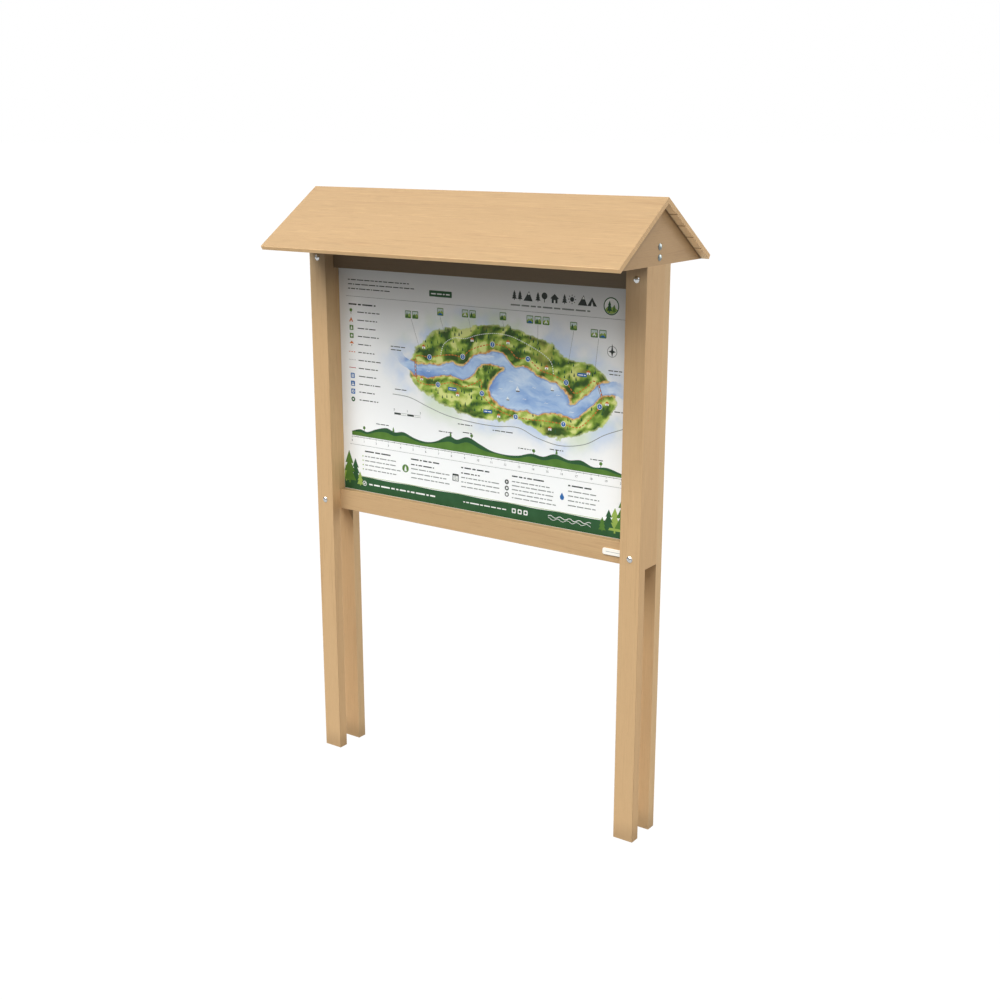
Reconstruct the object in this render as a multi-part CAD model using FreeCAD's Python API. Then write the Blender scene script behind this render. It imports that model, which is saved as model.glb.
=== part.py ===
import FreeCAD, Part
import math
import os

# Roofed notice-board on two slotted timber legs.
# Frame: X to the reader's right, Y to the rear, Z up. Millimetres.
# Origin: on the ground, midway between the legs and midway through their depth.

V = FreeCAD.Vector
os.makedirs("parts", exist_ok=True)

# ---------------------------------------------------------------- dimensions
SPAN = 1300.0            # overall width over the two legs
POST_W = 70.0            # leg width, along X
PLANK_T = 35.0           # leg plank thickness, along Y
POST_D = 140.0           # leg depth over both planks
POST_H = 1820.0          # leg height
SLOT_TOP = 905.0         # top of the open slot between the planks
EDGE_R = 1.5             # rounding of exposed long edges
SEAM_C = 0.3             # tiny chamfer along flush seams

RAIL_T = 25.0            # rail board thickness
RAIL_H = 70.0            # rail board height
RAIL_END = 640.0         # rails reach this far each side, tenons included
LOW_RAIL_Z = 905.0
TOP_RAIL_Z = 1748.0

PANEL_W = 1200.0
PANEL_H = 900.0
PANEL_T = 6.0
PANEL_Z = 910.0
GROOVE_CLEAR = 0.2       # panel groove clearance per face
GROOVE_END = 601.0

BEAM_W = 35.0            # tie beam under the ridge
BEAM_H = 75.0
GABLE_T = 25.0

ROOF_HALF = 675.0        # roof reaches this far each side
ROOF_PITCH = 33.65       # degrees
RIDGE_Z = 2014.0
BOARD_T = 15.0
BOARD_COVER = 64.5
BOARD_COUNT = 5
FIRST_COVER = 70.9       # the ridge board shows a little more
TONGUE_LEN = 6.0
GROOVE_LEN = 6.5
VEE = 2.5                # chamfer along each underside joint

CLEAT_T = 30.0           # rafter cleat, along X
CLEAT_D = 25.0           # rafter cleat, square to the slope

BOLT_R = 4.0
DOME_R = 10.0
DOME_H = 5.0
NECK = 8.0
NECK_L = 5.0
WASHER_R = 12.0
WASHER_T = 1.8
NUT_AF = 13.0
NUT_HEX = 8.0
NUT_TOTAL = 15.0
POST_BOLT_Z = (940.0, 1783.0)
GABLE_BOLT_Z = (1842.0, 1873.0)

PLATE_X0, PLATE_X1 = 496.0, 574.0
PLATE_Z0, PLATE_Z1 = 928.0, 948.5
PLATE_T = 3.0
PLATE_R = 6.0

XO = SPAN / 2.0                   # outer face of a leg
XI = XO - POST_W                  # inner face of a leg
XC = (XO + XI) / 2.0              # leg centre line
YF = POST_D / 2.0                 # leg front and rear faces
YI = YF - PLANK_T                 # inner faces of the planks
RAIL_Y0 = PANEL_T / 2.0
RAIL_Y1 = RAIL_Y0 + RAIL_T

TH = math.radians(ROOF_PITCH)
CO, SI, TA = math.cos(TH), math.sin(TH), math.tan(TH)
JOINTS = [FIRST_COVER + BOARD_COVER * i for i in range(BOARD_COUNT)]


# ---------------------------------------------------------------- helpers
def box(x0, x1, y0, y1, z0, z1):
    return Part.makeBox(x1 - x0, y1 - y0, z1 - z0, V(x0, y0, z0))


def soften(shape, picks):
    """picks: list of (direction letter, {axis: value, ...}, radius, round?)."""
    for letter, at, size, is_round in picks:
        edges = []
        for e in shape.Edges:
            if len(e.Vertexes) != 2:
                continue
            a, b = e.Vertexes[0].Point, e.Vertexes[1].Point
            d = b.sub(a)
            if d.Length < 1.0:
                continue
            d = d.multiply(1.0 / d.Length)
            if abs(getattr(d, letter)) < 0.999:
                continue
            if all(abs(getattr(a, k) - v) < 0.01 for k, v in at.items()):
                edges.append(e)
        if not edges:
            raise RuntimeError("no edge at %s" % (at,))
        shape = shape.makeFillet(size, edges) if is_round else shape.makeChamfer(size, edges)
    return shape


def cut(shape, tools):
    tools = [t for t in tools if t.BoundBox.intersect(shape.BoundBox)]
    if tools:
        shape = shape.cut(tools)
    return shape


def place(shape, at, direction):
    """Copy of a shape built along +Z, moved to a point and turned to a direction."""
    s = shape.copy()
    s.Placement = FreeCAD.Placement(at, FreeCAD.Rotation(V(0, 0, 1), direction))
    return s


def revolved(points):
    """Solid of revolution about Z from (r, z) points, first and last on the axis."""
    wire = Part.makePolygon([V(r, 0, z) for r, z in points] + [V(points[0][0], 0, points[0][1])])
    return Part.Face(wire).revolve(V(0, 0, 0), V(0, 0, 1), 360)


def dome(r, h, rim):
    """Low cup head standing on z = 0: a short rim under a spherical cap."""
    cap = h - rim
    big = (r * r + cap * cap) / (2.0 * cap)
    half = math.asin(r / big)
    mid = half / 2.0
    cz = rim + cap - big
    arc = Part.Arc(V(r, 0, rim), V(big * math.sin(mid), 0, cz + big * math.cos(mid)), V(0, 0, h)).toShape()
    wire = Part.Wire([
        Part.LineSegment(V(0, 0, 0), V(r, 0, 0)).toShape(),
        Part.LineSegment(V(r, 0, 0), V(r, 0, rim)).toShape(),
        arc,
        Part.LineSegment(V(0, 0, h), V(0, 0, 0)).toShape(),
    ])
    return Part.Face(wire).revolve(V(0, 0, 0), V(0, 0, 1), 360)


def mirror_x(shape):
    return shape.mirror(V(0, 0, 0), V(1, 0, 0))


def mirror_y(shape):
    return shape.mirror(V(0, 0, 0), V(0, 1, 0))


def on_slope(s, n, side, x=0.0):
    """Point at s down the slope and n into the boards; side -1 is the front."""
    y = -s * CO + n * SI
    return V(x, y if side < 0 else -y, RIDGE_Z - s * SI - n * CO)


def slope_normal(side):
    """Unit vector out of the roof's top face."""
    return V(0, -SI if side < 0 else SI, CO)


def slope_prism(points, x0, x1, side):
    """Extrude an (s, n) polygon along X."""
    pts = [on_slope(s, n, side, x0) for s, n in points]
    face = Part.Face(Part.makePolygon(pts + [pts[0]]))
    return face.extrude(V(x1 - x0, 0, 0))


def group(shapes):
    return Part.makeCompound(shapes)


# ---------------------------------------------------------------- fasteners
# Leg bolt: cup head outside the front plank, square neck in it, nut at the rear.
bolt_len = POST_D + WASHER_T + 10.0
bolt_head = dome(DOME_R, DOME_H, 0.9)
bolt_shank = revolved([(0, 0), (BOLT_R, 0), (BOLT_R, bolt_len - 0.8), (BOLT_R - 0.8, bolt_len), (0, bolt_len)])
bolt_neck = Part.makeBox(NECK, NECK, NECK_L, V(-NECK / 2, -NECK / 2, 0))
post_bolt_spots = [(x, z) for x in (-XC, XC) for z in POST_BOLT_Z]
post_bolts = []
for x, z in post_bolt_spots:
    head = place(bolt_head, V(x, -YF, z), V(0, -1, 0))
    shank = place(bolt_shank, V(x, -YF, z), V(0, 1, 0))
    neck = box(x - NECK / 2, x + NECK / 2, -YF, -YF + NECK_L, z - NECK / 2, z + NECK / 2)
    post_bolts.append(head.fuse([shank, neck]).removeSplitter())

washer = revolved([(BOLT_R, 0), (WASHER_R - 0.4, 0), (WASHER_R, 0.4), (WASHER_R, WASHER_T - 0.4),
                   (WASHER_R - 0.4, WASHER_T), (BOLT_R, WASHER_T)])
post_washers = [place(washer, V(x, YF, z), V(0, 1, 0)) for x, z in post_bolt_spots]

# Domed cap nut with a blind bore.
corner = NUT_AF / math.sqrt(3.0)
hexagon = [V(corner * math.cos(math.radians(60 * i + 30)), corner * math.sin(math.radians(60 * i + 30)), 0) for i in range(6)]
nut_hex = Part.Face(Part.makePolygon(hexagon + [hexagon[0]])).extrude(V(0, 0, NUT_HEX))
nut_hex = nut_hex.common(revolved([(0, 0), (NUT_AF / 2 - 0.1, 0), (corner + 0.1, 0.9), (corner + 0.1, NUT_HEX - 0.9),
                                   (NUT_AF / 2 - 0.1, NUT_HEX), (0, NUT_HEX)]))
cap_r = NUT_AF / 2 - 0.5
cap_c = NUT_TOTAL - cap_r
nut_cap = Part.makeCylinder(cap_r, cap_c - NUT_HEX + 1.0, V(0, 0, NUT_HEX - 1.0)).fuse(Part.makeSphere(cap_r, V(0, 0, cap_c)))
nut = nut_hex.fuse(nut_cap).cut(Part.makeCylinder(BOLT_R, 11.0)).removeSplitter()
post_nuts = [place(nut, V(x, YF + WASHER_T, z), V(0, 1, 0)) for x, z in post_bolt_spots]

# Gable bolt: cup-head coach screw into the tie beam's end grain.
gable_shank = revolved([(0, 0), (BOLT_R, 0), (BOLT_R, 74.0), (0.8, 80.0), (0, 80.0)])
gable_bolts = []
for side in (-1, 1):
    for z in GABLE_BOLT_Z:
        head = place(bolt_head, V(side * XO, 0, z), V(side, 0, 0))
        shank = place(gable_shank, V(side * XO, 0, z), V(-side, 0, 0))
        gable_bolts.append(head.fuse(shank).removeSplitter())


def wood_screw(d, length, head_r):
    """Countersunk screw, head flush at z = 0, point at z = length."""
    r = d / 2.0
    return revolved([(0, 0), (head_r, 0), (r, head_r - r + 0.4), (r, length - d), (0.3, length), (0, length)])


beam_screw = wood_screw(6.0, 120.0, 5.8)
beam_screws = [place(beam_screw, V(x, y, POST_H + BEAM_H), V(0, 0, -1))
               for x, y in ((-540, -10), (-180, 10), (180, -10), (540, 10))]
rail_screw = wood_screw(5.0, 45.0, 4.8)
rail_screws = [place(rail_screw, V(x, RAIL_Y1, z), V(0, -1, 0)) for z in POST_BOLT_Z for x in (-450, -150, 150, 450)]
cleat_screw = wood_screw(4.0, 45.0, 3.9)
cleat_screws = []
roof_screw = wood_screw(4.0, 35.0, 3.9)
roof_screws = []
CLEAT_X0, CLEAT_X1 = XO - GABLE_T - CLEAT_T, XO - GABLE_T
for face in (-1, 1):
    for side in (-1, 1):
        for s in (70.0, 200.0):
            p = on_slope(s, BOARD_T + CLEAT_D / 2, face)
            cleat_screws.append(place(cleat_screw, V(side * CLEAT_X0, p.y, p.z), V(side, 0, 0)))
        for s in (45.0, 103.0, 167.7, 232.2, 280.0):
            p = on_slope(s, BOARD_T + CLEAT_D, face, side * (CLEAT_X0 + CLEAT_X1) / 2)
            roof_screws.append(place(roof_screw, p, slope_normal(face)))

# ---------------------------------------------------------------- legs
front_plank = soften(box(XI, XO, -YF, -YI, 0, POST_H), [
    ("z", {"x": XI, "y": -YF}, EDGE_R, True), ("z", {"x": XO, "y": -YF}, EDGE_R, True),
    ("z", {"x": XI, "y": -YI}, SEAM_C, False), ("z", {"x": XO, "y": -YI}, SEAM_C, False)])
rear_plank = mirror_y(front_plank)
right_front_post = cut(front_plank, post_bolts)
left_front_post = cut(mirror_x(front_plank), post_bolts)
right_rear_post = cut(rear_plank, post_bolts)
left_rear_post = cut(mirror_x(rear_plank), post_bolts)

# Filler between the planks, mortised for the rails and grooved for the panel.
filler = soften(box(XI, XO, -YI, YI, SLOT_TOP, POST_H), [
    ("z", {"x": XI, "y": -YI}, SEAM_C, False), ("z", {"x": XO, "y": -YI}, SEAM_C, False),
    ("z", {"x": XI, "y": YI}, SEAM_C, False), ("z", {"x": XO, "y": YI}, SEAM_C, False)])
groove_y = PANEL_T / 2 + GROOVE_CLEAR
filler = filler.cut([
    box(XI - 1, RAIL_END, -RAIL_Y1, RAIL_Y1, SLOT_TOP - 1, LOW_RAIL_Z + RAIL_H),
    box(XI - 1, RAIL_END, -RAIL_Y1, RAIL_Y1, TOP_RAIL_Z, POST_H + 1),
    box(XI - 1, GROOVE_END, -groove_y, groove_y, LOW_RAIL_Z + RAIL_H - 1, TOP_RAIL_Z + 1)])
right_filler_post = cut(filler, post_bolts)
left_filler_post = cut(mirror_x(filler), post_bolts)


# ---------------------------------------------------------------- rails and panel
def rail(z0, rear):
    y0, y1 = (RAIL_Y0, RAIL_Y1) if rear else (-RAIL_Y1, -RAIL_Y0)
    z1 = z0 + RAIL_H
    out = y1 if rear else y0
    inn = y0 if rear else y1
    b = soften(box(-RAIL_END, RAIL_END, y0, y1, z0, z1), [
        ("x", {"y": out, "z": z0}, EDGE_R, True), ("x", {"y": out, "z": z1}, EDGE_R, True),
        ("x", {"y": inn, "z": z0}, SEAM_C, False), ("x", {"y": inn, "z": z1}, SEAM_C, False)])
    return cut(b, post_bolts + rail_screws + beam_screws)


bottom_front_rail = rail(LOW_RAIL_Z, False)
bottom_rear_rail = rail(LOW_RAIL_Z, True)
top_front_rail = rail(TOP_RAIL_Z, False)
top_rear_rail = rail(TOP_RAIL_Z, True)

rail_packers = []
for z in (LOW_RAIL_Z, TOP_RAIL_Z):
    for side in (-1, 1):
        a, b = sorted((side * PANEL_W / 2, side * RAIL_END))
        rail_packers.append(cut(box(a, b, -RAIL_Y0, RAIL_Y0, z, z + RAIL_H), post_bolts))

info_panel = soften(box(-PANEL_W / 2, PANEL_W / 2, -PANEL_T / 2, PANEL_T / 2, PANEL_Z, PANEL_Z + PANEL_H), [
    ("y", {"x": -PANEL_W / 2, "z": PANEL_Z}, 3.0, True), ("y", {"x": PANEL_W / 2, "z": PANEL_Z}, 3.0, True),
    ("y", {"x": -PANEL_W / 2, "z": PANEL_Z + PANEL_H}, 3.0, True), ("y", {"x": PANEL_W / 2, "z": PANEL_Z + PANEL_H}, 3.0, True)])
info_panel = cut(info_panel, rail_screws)

# Blank plate on the bottom rail, near the right leg.
label_plate = soften(box(PLATE_X0, PLATE_X1, -RAIL_Y1 - PLATE_T, -RAIL_Y1, PLATE_Z0, PLATE_Z1), [
    ("y", {"x": PLATE_X0, "z": PLATE_Z0}, PLATE_R, True), ("y", {"x": PLATE_X1, "z": PLATE_Z0}, PLATE_R, True),
    ("y", {"x": PLATE_X0, "z": PLATE_Z1}, PLATE_R, True), ("y", {"x": PLATE_X1, "z": PLATE_Z1}, PLATE_R, True)])
rim = [e for e in label_plate.Edges if all(abs(v.Point.y + RAIL_Y1 + PLATE_T) < 0.01 for v in e.Vertexes)]
label_plate = label_plate.makeFillet(0.5, rim)

# ---------------------------------------------------------------- roof frame
tie_beam = soften(box(-(XO - GABLE_T), XO - GABLE_T, -BEAM_W / 2, BEAM_W / 2, POST_H, POST_H + BEAM_H), [
    ("x", {"y": -BEAM_W / 2, "z": POST_H}, EDGE_R, True), ("x", {"y": BEAM_W / 2, "z": POST_H}, EDGE_R, True),
    ("x", {"y": -BEAM_W / 2, "z": POST_H + BEAM_H}, EDGE_R, True), ("x", {"y": BEAM_W / 2, "z": POST_H + BEAM_H}, EDGE_R, True)])
tie_beam = cut(tie_beam, gable_bolts + beam_screws)

under_ridge = RIDGE_Z - BOARD_T / CO
gable_half = (under_ridge - POST_H) / TA
tip = 2.0                # the sharp lower corners are cut off square
gable_pts = [V(XO - GABLE_T, -gable_half + tip, POST_H), V(XO - GABLE_T, gable_half - tip, POST_H),
             V(XO - GABLE_T, gable_half - tip, POST_H + tip * TA), V(XO - GABLE_T, 0, under_ridge),
             V(XO - GABLE_T, -gable_half + tip, POST_H + tip * TA)]
gable = Part.Face(Part.makePolygon(gable_pts + [gable_pts[0]])).extrude(V(GABLE_T, 0, 0))
right_gable = cut(gable, gable_bolts + cleat_screws)
left_gable = cut(mirror_x(gable), gable_bolts + cleat_screws)


def cleat(side, face):
    """Cleat along the slope on a gable's inner face, level at the foot, plumb at the head."""
    x0, x1 = sorted((side * CLEAT_X0, side * CLEAT_X1))
    c = slope_prism([(-40, BOARD_T), (345, BOARD_T), (345, BOARD_T + CLEAT_D), (-40, BOARD_T + CLEAT_D)], x0, x1, face)
    y0, y1 = (-400, -2) if face < 0 else (2, 400)
    c = c.common(box(x0 - 1, x1 + 1, y0, y1, POST_H + 2, 2100))
    return cut(c, cleat_screws + roof_screws)


# ---------------------------------------------------------------- roof boards
def board(i, face):
    """Tongue-and-groove roof board i (0 at the ridge), tongue up the slope."""
    t = BOARD_T
    s1 = JOINTS[i]
    last = i == BOARD_COUNT - 1
    if i == 0:
        # mitred on the vertical plane through the ridge
        pts = [(0, 0)]
        low = [(t * TA, t)]
    else:
        s0 = JOINTS[i - 1]
        pts = [(s0 + 0.2, 0.0)]
        low = [(s0 + VEE, t), (s0, t - VEE), (s0, 10.5), (s0 - TONGUE_LEN + 0.8, 10.5), (s0 - TONGUE_LEN, 9.7),
               (s0 - TONGUE_LEN, 6.3), (s0 - TONGUE_LEN + 0.8, 5.5), (s0, 5.5), (s0, 0.2)]
    if last:
        down = [(s1, 0), (s1, t)]
    else:
        down = [(s1 - 0.2, 0), (s1, 0.2), (s1, 5.3), (s1 - GROOVE_LEN, 5.3), (s1 - GROOVE_LEN, 10.7),
                (s1, 10.7), (s1, t - VEE), (s1 - VEE, t)]
    b = slope_prism(pts + down + low, -ROOF_HALF, ROOF_HALF, face)
    if last:
        a, c = on_slope(s1, 0, face), on_slope(s1, t, face)
        b = soften(b, [("x", {"y": a.y, "z": a.z}, EDGE_R, True), ("x", {"y": c.y, "z": c.z}, 1.0, True)])
    return cut(b, roof_screws)


nodes = {
    "left_front_post": left_front_post, "right_front_post": right_front_post,
    "left_rear_post": left_rear_post, "right_rear_post": right_rear_post,
    "left_filler_post": left_filler_post, "right_filler_post": right_filler_post,
    "bottom_front_rail": bottom_front_rail, "bottom_rear_rail": bottom_rear_rail,
    "top_front_rail": top_front_rail, "top_rear_rail": top_rear_rail,
    "rail_packers": group(rail_packers), "info_panel": info_panel, "label_plate": label_plate,
    "tie_beam": tie_beam, "left_gable": left_gable, "right_gable": right_gable,
    "left_front_cleat": cleat(-1, -1), "right_front_cleat": cleat(1, -1),
    "left_rear_cleat": cleat(-1, 1), "right_rear_cleat": cleat(1, 1),
    "post_bolts": group(post_bolts), "post_washers": group(post_washers), "post_nuts": group(post_nuts),
    "gable_bolts": group(gable_bolts), "beam_screws": group(beam_screws), "rail_screws": group(rail_screws),
    "cleat_screws": group(cleat_screws), "roof_screws": group(roof_screws),
}
for i in range(BOARD_COUNT):
    nodes["front_roof_board_%d" % (i + 1)] = board(i, -1)
    nodes["rear_roof_board_%d" % (i + 1)] = board(i, 1)

for name, shape in nodes.items():
    bad = [s for s in shape.Solids if not s.isValid() or not s.isClosed() or s.Volume <= 0]
    bb = shape.BoundBox
    print("%-20s solids %2d  bad %d  vol %10.1f cm3  x %.1f..%.1f y %.1f..%.1f z %.1f..%.1f" % (
        name, len(shape.Solids), len(bad), shape.Volume / 1000.0, bb.XMin, bb.XMax, bb.YMin, bb.YMax, bb.ZMin, bb.ZMax))
    if bad or not shape.Solids:
        raise RuntimeError("bad solid in " + name)
    shape.exportStep("parts/%s.step" % name)
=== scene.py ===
import math
import random

import bmesh
import bpy
import numpy as np
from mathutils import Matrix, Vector


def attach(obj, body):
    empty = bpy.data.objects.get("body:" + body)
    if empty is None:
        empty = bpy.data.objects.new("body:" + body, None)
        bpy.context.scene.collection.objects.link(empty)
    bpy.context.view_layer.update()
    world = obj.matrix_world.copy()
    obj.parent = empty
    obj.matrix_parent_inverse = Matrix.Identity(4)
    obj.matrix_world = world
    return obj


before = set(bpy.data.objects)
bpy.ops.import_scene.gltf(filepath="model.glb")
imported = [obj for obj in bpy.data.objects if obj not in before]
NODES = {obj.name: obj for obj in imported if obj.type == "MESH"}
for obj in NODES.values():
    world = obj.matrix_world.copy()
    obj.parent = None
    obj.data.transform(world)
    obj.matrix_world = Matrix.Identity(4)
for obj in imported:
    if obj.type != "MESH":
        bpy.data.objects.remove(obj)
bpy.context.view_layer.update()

# ------------------------------------------------------------------ camera
scene = bpy.context.scene
cam_data = bpy.data.cameras.new("view_camera")
cam_data.lens = 50.0
cam_data.sensor_width = 36.0
cam_data.clip_end = 200.0
cam = bpy.data.objects.new("view_camera", cam_data)
cam.location = (2.5987, -3.5871, 2.2041)
cam.rotation_euler = (math.radians(75.0), 0.0, math.radians(35.0))
scene.collection.objects.link(cam)
scene.camera = cam
scene.view_settings.view_transform = "Standard"
scene.view_settings.look = "None"


# ------------------------------------------------------------------ node helpers
class Tree:
    """Small helper that adds shader nodes and links them."""

    def __init__(self, tree):
        self.t = tree
        tree.nodes.clear()

    def add(self, kind, **props):
        n = self.t.nodes.new(kind)
        for k, v in props.items():
            setattr(n, k, v)
        return n

    def put(self, socket, value):
        if isinstance(value, bpy.types.NodeSocket):
            self.t.links.new(value, socket)
        elif value is not None:
            socket.default_value = value

    def math(self, op, a, b=None, c=None, clamp=False):
        n = self.add("ShaderNodeMath", operation=op, use_clamp=clamp)
        for s, v in zip(n.inputs, (a, b, c)):
            self.put(s, v)
        return n.outputs[0]

    def vmath(self, op, a, b=None, scale=None):
        n = self.add("ShaderNodeVectorMath", operation=op)
        self.put(n.inputs[0], a)
        if b is not None:
            self.put(n.inputs[1], b)
        if scale is not None:
            self.put(n.inputs["Scale"], scale)
        return n.outputs["Value"] if op in ("DOT_PRODUCT", "LENGTH", "DISTANCE") else n.outputs["Vector"]

    def xyz(self, v):
        n = self.add("ShaderNodeSeparateXYZ")
        self.put(n.inputs[0], v)
        return n.outputs[0], n.outputs[1], n.outputs[2]

    def vec(self, x, y, z):
        n = self.add("ShaderNodeCombineXYZ")
        for s, v in zip(n.inputs, (x, y, z)):
            self.put(s, v)
        return n.outputs[0]

    def noise(self, v, scale=1.0, detail=2.0, rough=0.5, distort=0.0, dims="3D"):
        n = self.add("ShaderNodeTexNoise", noise_dimensions=dims)
        self.put(n.inputs["Vector"], v)
        n.inputs["Scale"].default_value = scale
        n.inputs["Detail"].default_value = detail
        n.inputs["Roughness"].default_value = rough
        n.inputs["Distortion"].default_value = distort
        return n.outputs["Fac"]

    def voronoi(self, v, scale=1.0, feature="F1", out="Distance", rand=1.0):
        n = self.add("ShaderNodeTexVoronoi", feature=feature)
        self.put(n.inputs["Vector"], v)
        n.inputs["Scale"].default_value = scale
        n.inputs["Randomness"].default_value = rand
        return n.outputs[out]

    def remap(self, v, a, b, c=0.0, d=1.0, smooth=True):
        n = self.add("ShaderNodeMapRange", interpolation_type="SMOOTHSTEP" if smooth else "LINEAR")
        self.put(n.inputs["Value"], v)
        n.inputs["From Min"].default_value = a
        n.inputs["From Max"].default_value = b
        n.inputs["To Min"].default_value = c
        n.inputs["To Max"].default_value = d
        return n.outputs["Result"]

    def mix(self, f, a, b, blend="MIX"):
        n = self.add("ShaderNodeMix", data_type="RGBA", blend_type=blend)
        self.put(n.inputs[0], f)
        self.put(n.inputs[6], a)
        self.put(n.inputs[7], b)
        return n.outputs[2]

    def ramp(self, f, stops):
        n = self.add("ShaderNodeValToRGB")
        self.put(n.inputs[0], f)
        e = n.color_ramp.elements
        while len(e) > 1:
            e.remove(e[-1])
        e[0].position, e[0].color = stops[0][0], (*stops[0][1], 1.0)
        for p, c in stops[1:]:
            x = e.new(p)
            x.color = (*c, 1.0)
        return n.outputs[0]

    def attr(self, name):
        return self.add("ShaderNodeAttribute", attribute_type="GEOMETRY", attribute_name=name).outputs["Fac"]

    def bump(self, height, strength, distance, normal=None):
        n = self.add("ShaderNodeBump")
        n.inputs["Strength"].default_value = strength
        n.inputs["Distance"].default_value = distance
        self.put(n.inputs["Height"], height)
        if normal is not None:
            self.put(n.inputs["Normal"], normal)
        return n.outputs[0]

    def principled(self, color, rough, normal=None, metallic=0.0, specular=0.5, coat=0.0, coat_rough=0.1):
        p = self.add("ShaderNodeBsdfPrincipled")
        self.put(p.inputs["Base Color"], color)
        self.put(p.inputs["Roughness"], rough)
        p.inputs["Metallic"].default_value = metallic
        p.inputs["Specular IOR Level"].default_value = specular
        p.inputs["Coat Weight"].default_value = coat
        p.inputs["Coat Roughness"].default_value = coat_rough
        if normal is not None:
            self.put(p.inputs["Normal"], normal)
        out = self.add("ShaderNodeOutputMaterial")
        self.t.links.new(p.outputs[0], out.inputs[0])
        return p


def new_material(name):
    m = bpy.data.materials.new(name)
    m.use_nodes = True
    return m, Tree(m.node_tree)


def rgb(r, g, b):
    """Display colour 0-255 to the linear values that shaders take."""
    f = lambda c: c / 12.92 if c <= 0.04045 else ((c + 0.055) / 1.055) ** 2.4
    return (f(r / 255.0), f(g / 255.0), f(b / 255.0))


# ------------------------------------------------------------------ timber
ROOF_PITCH = math.radians(33.65)
CO, SI = math.cos(ROOF_PITCH), math.sin(ROOF_PITCH)
RIDGE_Z = 2.014


def boarded(t, base, pos, axes, va, b, nrm):
    """Roof boards: short flecks; undersides of the rear slope, eave edges and board ends painted paler and the
    undersides cooler (painted light), a little darker near the ridge; dark joints below; painted shade where the
    underside meets the gable.
    """
    into = t.vmath("DOT_PRODUCT", nrm, axes[2])
    down = t.vmath("DOT_PRODUCT", nrm, axes[1])
    along = t.math("ABSOLUTE", t.vmath("DOT_PRODUCT", nrm, axes[0]))
    below = t.remap(into, 0.55, 0.85)
    rear = t.remap(t.xyz(pos)[1], -0.02, 0.02)
    # painted light: undersides of the rear slope, faces that look down the slope (the eave) and board ends are made
    # paler; a little darker near the ridge
    gain = t.math("ADD", t.remap(b, 0.0, 0.30, 0.94, 1.0), t.math("MULTIPLY", below, t.math("MULTIPLY", rear, 1.28)))
    gain = t.math("ADD", gain, t.math("MULTIPLY", t.remap(down, 0.45, 0.85), 0.94))
    gain = t.math("ADD", gain, t.math("MULTIPLY", t.remap(along, 0.80, 0.95), 0.62))
    pale = t.noise(t.vec(t.math("MULTIPLY", va, 9.0), t.math("MULTIPLY", b, 110.0), 3.3), 1.0, 2.0)
    gain = t.math("MULTIPLY", gain, t.remap(pale, 0.56, 0.68, 1.0, 1.065))
    dull = t.noise(t.vec(t.math("MULTIPLY", va, 9.0), t.math("MULTIPLY", b, 110.0), 8.1), 1.0, 2.0)
    gain = t.math("MULTIPLY", gain, t.remap(dull, 0.58, 0.70, 1.0, 0.925))
    near = t.math("ABSOLUTE", t.math("SUBTRACT", b, 0.0709))
    for j in (1, 2, 3):
        near = t.math("MINIMUM", near, t.math("ABSOLUTE", t.math("SUBTRACT", b, 0.0709 + 0.0645 * j)))
    joint = t.math("MULTIPLY", t.remap(near, 0.0026, 0.0012), t.remap(into, 0.30, 0.60))
    gain = t.math("MULTIPLY", gain, t.math("SUBTRACT", 1.0, t.math("MULTIPLY", joint, 0.42)))
    above = t.math("MULTIPLY", t.remap(near, 0.0020, 0.0006), t.remap(into, -0.30, -0.60))
    gain = t.math("MULTIPLY", gain, t.math("SUBTRACT", 1.0, t.math("MULTIPLY", above, 0.10)))
    # painted shade on the underside next to the gable face
    gable_seam_shade = t.math("ABSOLUTE", t.math("SUBTRACT", t.math("ABSOLUTE", t.xyz(pos)[0]), 0.650))
    gable_seam_shade = t.math("MULTIPLY", t.remap(gable_seam_shade, 0.0034, 0.0012), below)
    gain = t.math("MULTIPLY", gain, t.math("SUBTRACT", 1.0, t.math("MULTIPLY", gable_seam_shade, 0.40)))
    # painted cool light on the undersides
    base = t.mix(1.0, base, t.mix(below, (1.0, 1.0, 1.0, 1.0), (0.98, 1.10, 1.27, 1.0)), "MULTIPLY")
    return t.vmath("SCALE", base, scale=gain)


def under_roof(t, base, pos, axes, va, b, nrm):
    """Gable boards: painted shade in the angle where the board meets the underside of the roof, a band of painted shade
    close under the front overhang, and a warmer cast painted to suit that shade.
    """
    _, y, z = t.xyz(pos)
    drop = t.math("SUBTRACT", t.math("MULTIPLY", t.math("SUBTRACT", RIDGE_Z, z), CO), t.math("MULTIPLY", t.math("ABSOLUTE", y), SI))
    drop = t.math("SUBTRACT", drop, 0.015)
    gain = t.math("MULTIPLY", t.remap(drop, 0.0025, 0.0075, 0.58, 1.0), t.remap(drop, 0.004, 0.024, 0.93, 1.0))
    # a band of painted shade close under the front overhang
    ahead = t.math("MULTIPLY", t.remap(drop, 0.029, 0.040, 0.17, 0.0), t.remap(y, 0.0, -0.03))
    gain = t.math("MULTIPLY", gain, t.math("SUBTRACT", 1.0, ahead))
    base = t.mix(1.0, base, (1.0, 0.965, 0.925, 1.0), "MULTIPLY")
    return t.vmath("SCALE", base, scale=gain)


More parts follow.
